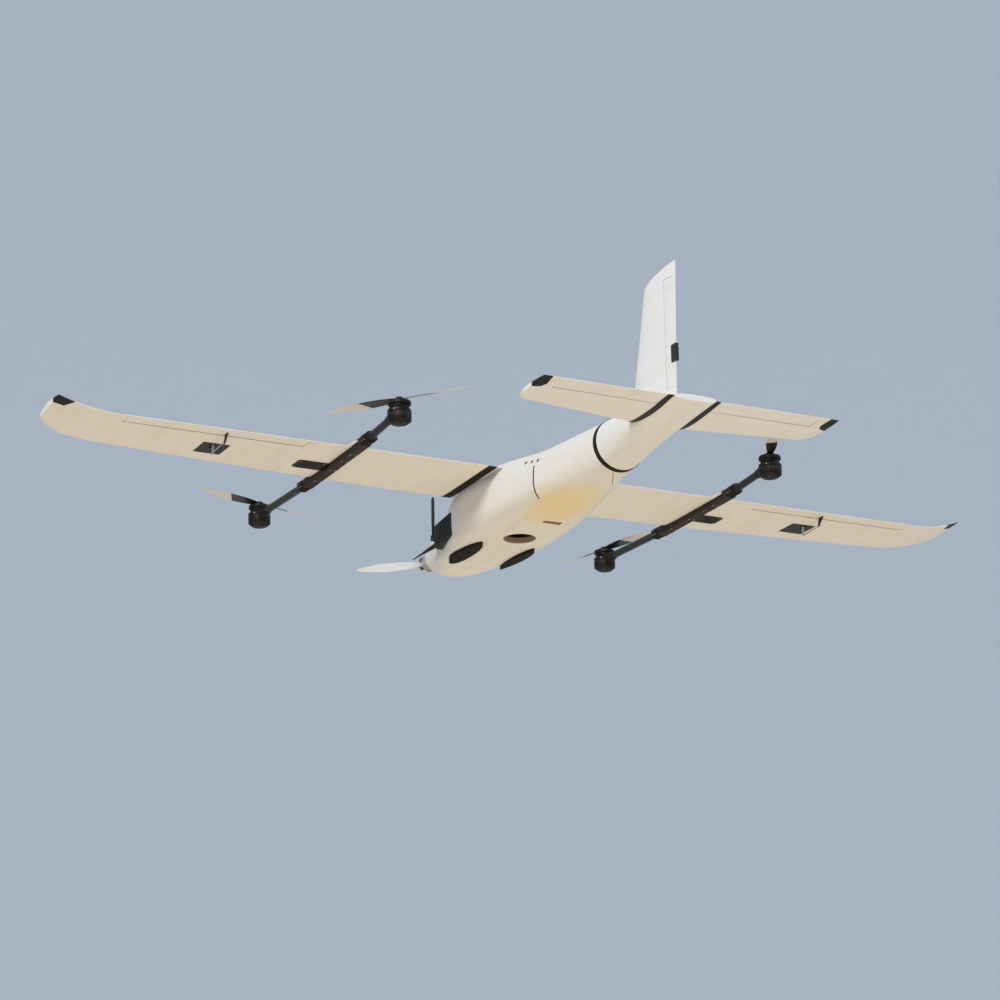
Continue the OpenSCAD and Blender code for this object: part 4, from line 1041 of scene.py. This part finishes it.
def two_tone(ob, mats, reach, slant):
    """Splits a blade mesh across at a slanting line, and paints the outer part."""
    ob.data.materials.clear()
    for m in mats:
        ob.data.materials.append(m)
    bm = bmesh.new()
    bm.from_mesh(ob.data)
    point, normal = Vector((reach, 0, 0)) * MM, Vector((1, slant, 0)).normalized()
    bmesh.ops.bisect_plane(bm, geom=bm.verts[:] + bm.edges[:] + bm.faces[:], plane_co=point, plane_no=normal)
    for f in bm.faces:
        f.material_index = int((f.calc_center_median() - point).dot(normal) > 0)
    bm.to_mesh(ob.data)
    bm.free()
    return ob


BLADE_PITCH_IN, BLADE_SPLIT, NOSE_PROP_R = 22, 88, 200
ROTORS = {("front", PORT): 16.5, ("front", STARBOARD): 78.4, ("rear", PORT): 127, ("rear", STARBOARD): 117.4}
BELL_R, BELL_FOOT, HUB_Z, LIFT_R = 26.5, POD_TOP + 7, POD_TOP + 16, 185


def motor_bell(name):
    """Outrunner bell just above the pod, wider above the arm's socket, with cooling windows in its top."""
    outline = [(0, POD_TOP + 2), (19.6, POD_TOP + 2), (19.6, POD_TOP + 0.4), (21.8, POD_TOP + 0.4),
               (22.5, POD_TOP + 1.1),
               (22.5, BELL_FOOT), (BELL_R - 0.6, BELL_FOOT), (BELL_R, BELL_FOOT + 0.6),
               (BELL_R, BELL_FOOT + 2.6),
               (BELL_R - 0.5, BELL_FOOT + 3), (BELL_R - 0.5, BELL_FOOT + 3.8), (BELL_R, BELL_FOOT + 4.2),
               (BELL_R, HUB_Z - 2), (BELL_R - 0.7, HUB_Z - 0.7), (BELL_R - 2.2, HUB_Z), (0, HUB_Z)]
    bell = lathe(name, outline, steps=96)
    for i in range(8):
        a0, a1 = math.radians(45 * i + 7), math.radians(45 * i + 38)
        arc = [(r * math.cos(a), r * math.sin(a)) for r, sweep in ((21.4, 1), (13.0, -1))
               for a in [a0 + (a1 - a0) * (k / 6 if sweep > 0 else 1 - k / 6) for k in range(7)]]
        cut(bell, prism("window", arc, HUB_Z - 3.5, HUB_Z + 1))
    return bell


for (end, sign), angle in ROTORS.items():
    name = "%s_%s" % (end, "port" if sign > 0 else "starboard")
    body = "lift_rotor_" + name
    y = ENDS[end][1]
    spin = math.radians(angle if sign > 0 else 180 - angle)
    spot = Matrix.Translation(Vector((sign * BOOM_X, y, 0)) * MM) @ Matrix.Rotation(spin, 4, "Z")
    bell = motor_bell("motor_bell_" + name)
    bell.data.transform(spot)
    piece(bell, body, ("rotor_" + name,), BLACK, 30)
    shaft = rod("motor_shaft_" + name, (0, 0, POD_LOW + 18), (0, 0, POD_TOP + 1), 3, 32, 0.3)
    shaft.data.transform(spot)
    piece(shaft, body, (), STEEL)
    hub = lathe("prop_hub_" + name, [(0, HUB_Z - 0.5), (11, HUB_Z - 0.5), (11, HUB_Z + 6), (10.4, HUB_Z + 7),
                                     (8.4, HUB_Z + 7.4),
                                     (8, HUB_Z + 9.2), (7.2, HUB_Z + 10), (0, HUB_Z + 10)], steps=56)
    hub.data.transform(spot)
    piece(hub, body, (), BLACK, 30)
    for k, turn in enumerate((0, math.pi)):
        blade = blade_solid("blade_%d_%s" % (k + 1, name), 8, LIFT_R, 26, BLADE_PITCH_IN, 8, 4)
        two_tone(blade, (DARK_PROP, WHITE_PROP), BLADE_SPLIT, -0.9 if sign > 0 else 0.9)
        if sign < 0:
            flip(blade, 1, -1)
        blade.data.transform(spot @ Matrix.Rotation(turn, 4, "Z")
                             @ Matrix.Translation((0, 0, (HUB_Z + 5) * MM)))
        piece(blade, body, (), None, 50)
    screws("hub_screws_" + name, [(tuple(spot @ Vector((6.0 * k * MM, 0, 0)) / MM)[:2] + (HUB_Z + 10,),
                                   (0, 0, 1))
                                  for k in (-1, 1)], body, 1.3, 0.9)

NOSE_ANGLE, NOSE_SEAT_S = 168, 25.7
nose_frame = Matrix.Translation(Vector((0, -NOSE_LEN, NOSE_Z)) * MM) @ Matrix.Rotation(math.radians(90), 4,
                                                                                       "X") @ \
    Matrix.Translation((0, 0, NOSE_SEAT_S * MM)) @ Matrix.Rotation(math.radians(NOSE_ANGLE), 4, "Z")
nose_hub = lathe("nose_prop_hub", [(4.05, 0), (12.4, 0), (13, 0.6), (13, 11.4), (12.4, 12), (4.05, 12)],
                 steps=64)
for turn in (0, math.pi):
    blade = blade_solid("blade", 10, NOSE_PROP_R, 25, 32, 9, 5)
    blade.data.transform(Matrix.Rotation(turn, 4, "Z") @ Matrix.Translation((0, 0, 6 * MM)))
    fuse(nose_hub, blade)
nose_hub.data.transform(nose_frame)
piece(nose_hub, "nose_rotor", ("nose_propeller",), WHITE_PROP, 45)
outer = [(24 * math.cos(math.radians(90 * i / 24)), 42 * math.sin(math.radians(90 * i / 24)))
         for i in range(25)]
inner = [(22.4 * math.cos(math.radians(90 * i / 24)), 40.4 * math.sin(math.radians(90 * i / 24)))
         for i in range(25)]
outer[-1], inner[-1] = (0, 42), (0, 40.4)
spinner = lathe("nose_spinner_skin", [(0, 0)] + outer, steps=80)
core = cut(lathe("core", [(0, -0.1)] + [(r, z - 0.1) for r, z in inner], steps=80),
           rod("post", (0, 0, 12.4), (0, 0, 60), 10, 48, 0))
cut(spinner, core, rod("shaft_way", (0, 0, -1), (0, 0, 18.6), 4.05, 32, 0),
    box("slot", (-36, 36), (-16, 16), (-2.5, 14.5)))
spinner.data.transform(nose_frame)
piece(spinner, "nose_rotor", ("nose_spinner",), WHITE_PROP, 35)


# ---------------------------------------------------------------- skids and fillets

SKID_X, SKID_Y, SKID_LEN, SKID_W, SKID_DROP = 70, -154, 184, 34, 8


def leaf(length, w, n=56):
    """Outline of a leaf with rounded points."""
    half = []
    for i in range(n + 1):
        t = math.sin(math.pi * (i / n - 0.5))
        half.append((w / 2 * max(0.0, 1 - abs(t) ** 2.3) ** 0.68, length / 2 * t))
    return half + [(-x, y) for x, y in reversed(half[1:-1])]


for sign, name in SIDES:
    outline = [(sign * SKID_X + x, SKID_Y + y) for x, y in leaf(SKID_LEN, SKID_W)]
    skid = prism("skid_pad_" + name, outline, -SKID_DROP, 24)
    common(skid, body_solid("pad_face", FUSE, -NOSE_LEN, JOINT_Y - SEAT, 100, SKID_DROP - 0.1, 96))
    cut(skid, body_solid("body", FUSE, -NOSE_LEN, JOINT_Y - SEAT, 100, SEAT, 96))
    piece(skid, "airframe", ("skid_" + name,), RUBBER, 40, 0.9)
    fillet = loft("stab_fillet_" + name, [[(sign * x, y, z) for y, z in foil(
        STAB_LE, STAB_TE - STAB_LE, STAB_Z, 0, ST * 1.25, 0, 28)] for x in (JOINT_R - 20, STAB_X - SEAT)])
    cut(fillet, body_solid("tail_body", TAIL, TAIL_Y + SEAT, TAIL_END, 60, SEAT, 128),
        rod("rod_way", (0, ELEV_Y, STAB_Z), (sign * 100, ELEV_Y, STAB_Z), ELEV_ROD_R + 0.05, 32, 0))
    piece(fillet, "airframe", ("stab_root_fillets",), BLACK, 35)


# ---------------------------------------------------------------- seams, screws and small fittings

def deck_spot(x, y):
    """Point and outward normal of the top of the fuselage at x, y."""
    low, _ = halved(0.0, math.pi / 2, lambda a: body_point(FUSE, y, a)[0] > abs(x))
    a = low if x >= 0 else math.pi - low
    return body_point(FUSE, y, a), tuple(body_normal(FUSE, y, a))


band_profile = ((500.5, 62.2), (500.9, 62.9), (515.6, 62.9), (516, 62.3))
band = loft("tail_joint_band", [[(r * math.cos(2 * math.pi * j / 128), y,
                                  JOINT_Z + r * math.sin(2 * math.pi * j / 128))
                                 for j in range(128)] for y, r in band_profile])
cut(band, rod("band_core", (0, 499, JOINT_Z), (0, 518, JOINT_Z), 61.2, 128, 0))
piece(band, "airframe", (), RUBBER, 40)

# Sealed seam down the port side behind the wing, with the plugs above it
seam = [on_skin(FUSE, 272.5 - 18 * (i / 16) ** 2, 88 - 72 * i / 16, 2) for i in range(17)]
strip("side_seam", [p for p, n in seam], [n for p, n in seam], 5, 0.3, "airframe", SEAM)
screws("side_plugs", [on_skin(FUSE, y, z, 2) for y, z in ((230.6, 108), (257.2, 103), (282.7, 99))],
       "airframe", 4.4, 1.0, SEAM, -0.1)

# Short seam that runs forward from the tail joint, across the bottom to starboard
seam = [on_skin(FUSE, 495 - 85 * i / 16, abs(9 - 43 * i / 16), 0, 1 if i < 4 else -1) for i in range(17)]
strip("under_seam", [p for p, n in seam], [n for p, n in seam], 2, 0.2, "airframe", LATCH)

for sign, name in SIDES:
    spar_line = [(sign * x, -22 - (x - 576) * 0.03, under(x, -22 - (x - 576) * 0.03))
                 for x in range(200, 761, 20)]
    strip("spar_seam_" + name, spar_line, [(0, 0, -1)] * len(spar_line), 1.1, 0.14, "airframe", SKIN)

    # The servo cover's four screws
    corners = [on_cover @ (Vector((i * (COVER[0] / 2 - 5), j * (COVER[1] / 2 - 5), 0)) * MM)
               for i in (-1, 1) for j in (-1, 1)]
    screws("servo_cover_screws_" + name, [((sign * p.x / MM, p.y / MM, p.z / MM), (0, 0, -1))
                                          for p in corners],
           "airframe", 1.7, 0.9)

    # White filler at the trailing edge beside the boom's saddle
    near, far = (500, 507) if sign > 0 else (463, 470)
    filler = loft("boom_filler_" + name, [[(sign * near, y, 125 - h),
                                           (sign * (near + (far - near) * w), y, 125 - h),
                                           (sign * (near + (far - near) * w), y, 125 + h),
                                           (sign * near, y, 125 + h)]
                                          for y, w, h in ((133, 1, 1.2), (150, 1, 1.2), (166, 0.8, 1),
                                                          (174, 0.3, 0.7))])
    piece(filler, "airframe", (), SKIN, 40)

# Screws and latches of the two hatches on the fuselage
screws("deck_hatch_screws", [deck_spot(x, y) for x in (-58, 58) for y in (-300, -105, 92)], "deck_hatch",
       2.4, 1.1)
screws("belly_door_screws", [((x, y, 0), (0, 0, -1)) for x in (-53, 53) for y in (69, 147)], "belly_door",
       1.8, 0.8)
for x in (-30, 30):
    p, n = deck_spot(x, 108)
    latch = lathe("deck_latch_%s" % ("port" if x > 0 else "starboard"),
                  [(0, -0.6), (7, -0.6), (7, 0.9), (6.3, 1.5), (2.6, 1.5), (2.2, 2.6), (0, 2.8)], steps=48)
    latch.data.transform(placed(p, n))
    piece(latch, "deck_hatch", (), BLACK, 30)

# Sleeve of the whip antenna
WHIP_AT = (100.5, -275, 0)
sleeve = lathe("whip_sleeve", [(0, 99), (3.2, 99), (4, 100), (4, 166), (3.2, 170), (2.6, 172), (0, 172)],
               steps=48)
sleeve.data.transform(Matrix.Translation(Vector(WHIP_AT) * MM))
piece(sleeve, "airframe", (), BLACK, 35)

# Cooling ribs on the cheek unit's outer face
PROBE_AT, PROBE_TILT, PROBE_FACE, RIB_PITCH = (100, -200, 0), -6, 10.4, 12
slab = Matrix.Translation(Vector(PROBE_AT) * MM) @ Matrix.Rotation(math.radians(PROBE_TILT), 4, "Z")
ribs = [prism("rib", rounded(3.2, 39, 93, 1.5), 0, 1.1) for _ in range(9)]
for i, rib in enumerate(ribs):
    lay = Matrix(((0, 0, 1, PROBE_FACE * MM), (1, 0, 0, RIB_PITCH * (i - 4) * MM), (0, 1, 0, 0),
                  (0, 0, 0, 1)))
    rib.data.transform(slab @ lay)
piece(joined("probe_housing_ribs", ribs), "airframe", (), BLACK, 35)


# ---------------------------------------------------------------- materials of the carried-over nodes

PAINTED = {
    RUBBER: "tail_joint_ring",
    BLACK: "probe_housing pitot_tube whip_antenna rudder_horn rudder_servo autopilot aileron_horn_port"
           " aileron_horn_starboard aileron_servo_port aileron_servo_starboard",
    CARBON: "main_spar rear_spar elevator_rod", METAL: "nose_motor", TAN: "camera_port_ring",
    LATCH: "belly_latch", WOOD: "battery_tray", WRAP: "battery",
    NYLON: "aileron_arm_port aileron_arm_starboard rudder_arm",
    STEEL: "nose_bell aileron_pushrod_port aileron_pushrod_starboard rudder_pushrod"}
for mat, names in PAINTED.items():
    paint(names.split(), mat)


# ---------------------------------------------------------------- stage, light and camera

def stage_look():
    k = Look("studio_backdrop", rough=0.9, specular=0.1)
    split = k.node("SeparateXYZ")
    k.link(k.coords, split.inputs[0])
    rise = k.ramp(split.outputs["Z"], FLOOR_Z * MM, FLOOR_Z * MM + 6)
    tone = k.mix(rise, (0.84, 0.80, 0.74), (0.70, 0.77, 0.85))
    k.colour(tone)
    k.link(tone, k.shader.inputs["Emission Color"])
    k.shader.inputs["Emission Strength"].default_value = 0.12
    return k.mat


FLOOR_Z, FLOOR_R, WALL_R = -9500, 26000, 34000
profile = [(0, FLOOR_Z), (FLOOR_R * 0.5, FLOOR_Z), (FLOOR_R, FLOOR_Z)]
for i in range(1, 13):
    a = math.pi / 2 * i / 12
    profile.append((FLOOR_R + (WALL_R - FLOOR_R) * math.sin(a), FLOOR_Z + 8000 * (1 - math.cos(a))))
profile.append((WALL_R, 26000))
floor = lathe("studio_floor", profile, mat=stage_look(), steps=96)
smooth(floor, 60)

world = bpy.data.worlds.new("studio")
scene.world = world
world.use_nodes = True
world.node_tree.nodes["Background"].inputs["Color"].default_value = (0.86, 0.92, 1.0, 1)
world.node_tree.nodes["Background"].inputs["Strength"].default_value = 0.44


def area_light(name, at, aim, size, watts, tint):
    data = bpy.data.lights.new(name, "AREA")
    data.shape, data.size, data.energy, data.color = "DISK", size, watts, tint
    ob = bpy.data.objects.new(name, data)
    scene.collection.objects.link(ob)
    ob.location = at
    ob.rotation_mode = "QUATERNION"
    ob.rotation_quaternion = (Vector(aim) - Vector(at)).to_track_quat("-Z", "Y")


area_light("key", (7, 6, 5), (0, 0.2, 0.1), 3.5, 730, (1.0, 0.96, 0.92))
area_light("under", (0.5, 1.5, -8.5), (0, 0.2, 0.1), 7, 230, (1.0, 0.63, 0.14))
area_light("rim", (-6, 3, 6), (0, 0.2, 0.1), 3, 300, (0.92, 0.96, 1.0))
scene.view_settings.view_transform = "Standard"

camera = bpy.data.cameras.new("camera")
camera.lens, camera.sensor_width = 112.47, 36
camera.clip_start, camera.clip_end = 0.1, 200
eye = bpy.data.objects.new("camera", camera)
scene.collection.objects.link(eye)
right = Vector((-0.89731, 0.44112, -0.01569)).normalized()
forward = Vector((-0.42422, -0.85203, 0.30673)).normalized()
up = right.cross(forward).normalized()
pose = Matrix((right, up, -forward)).transposed().to_4x4()
pose.translation = Vector((3.2433, 6.4119, -2.2171))
eye.matrix_world = pose
scene.camera = eye
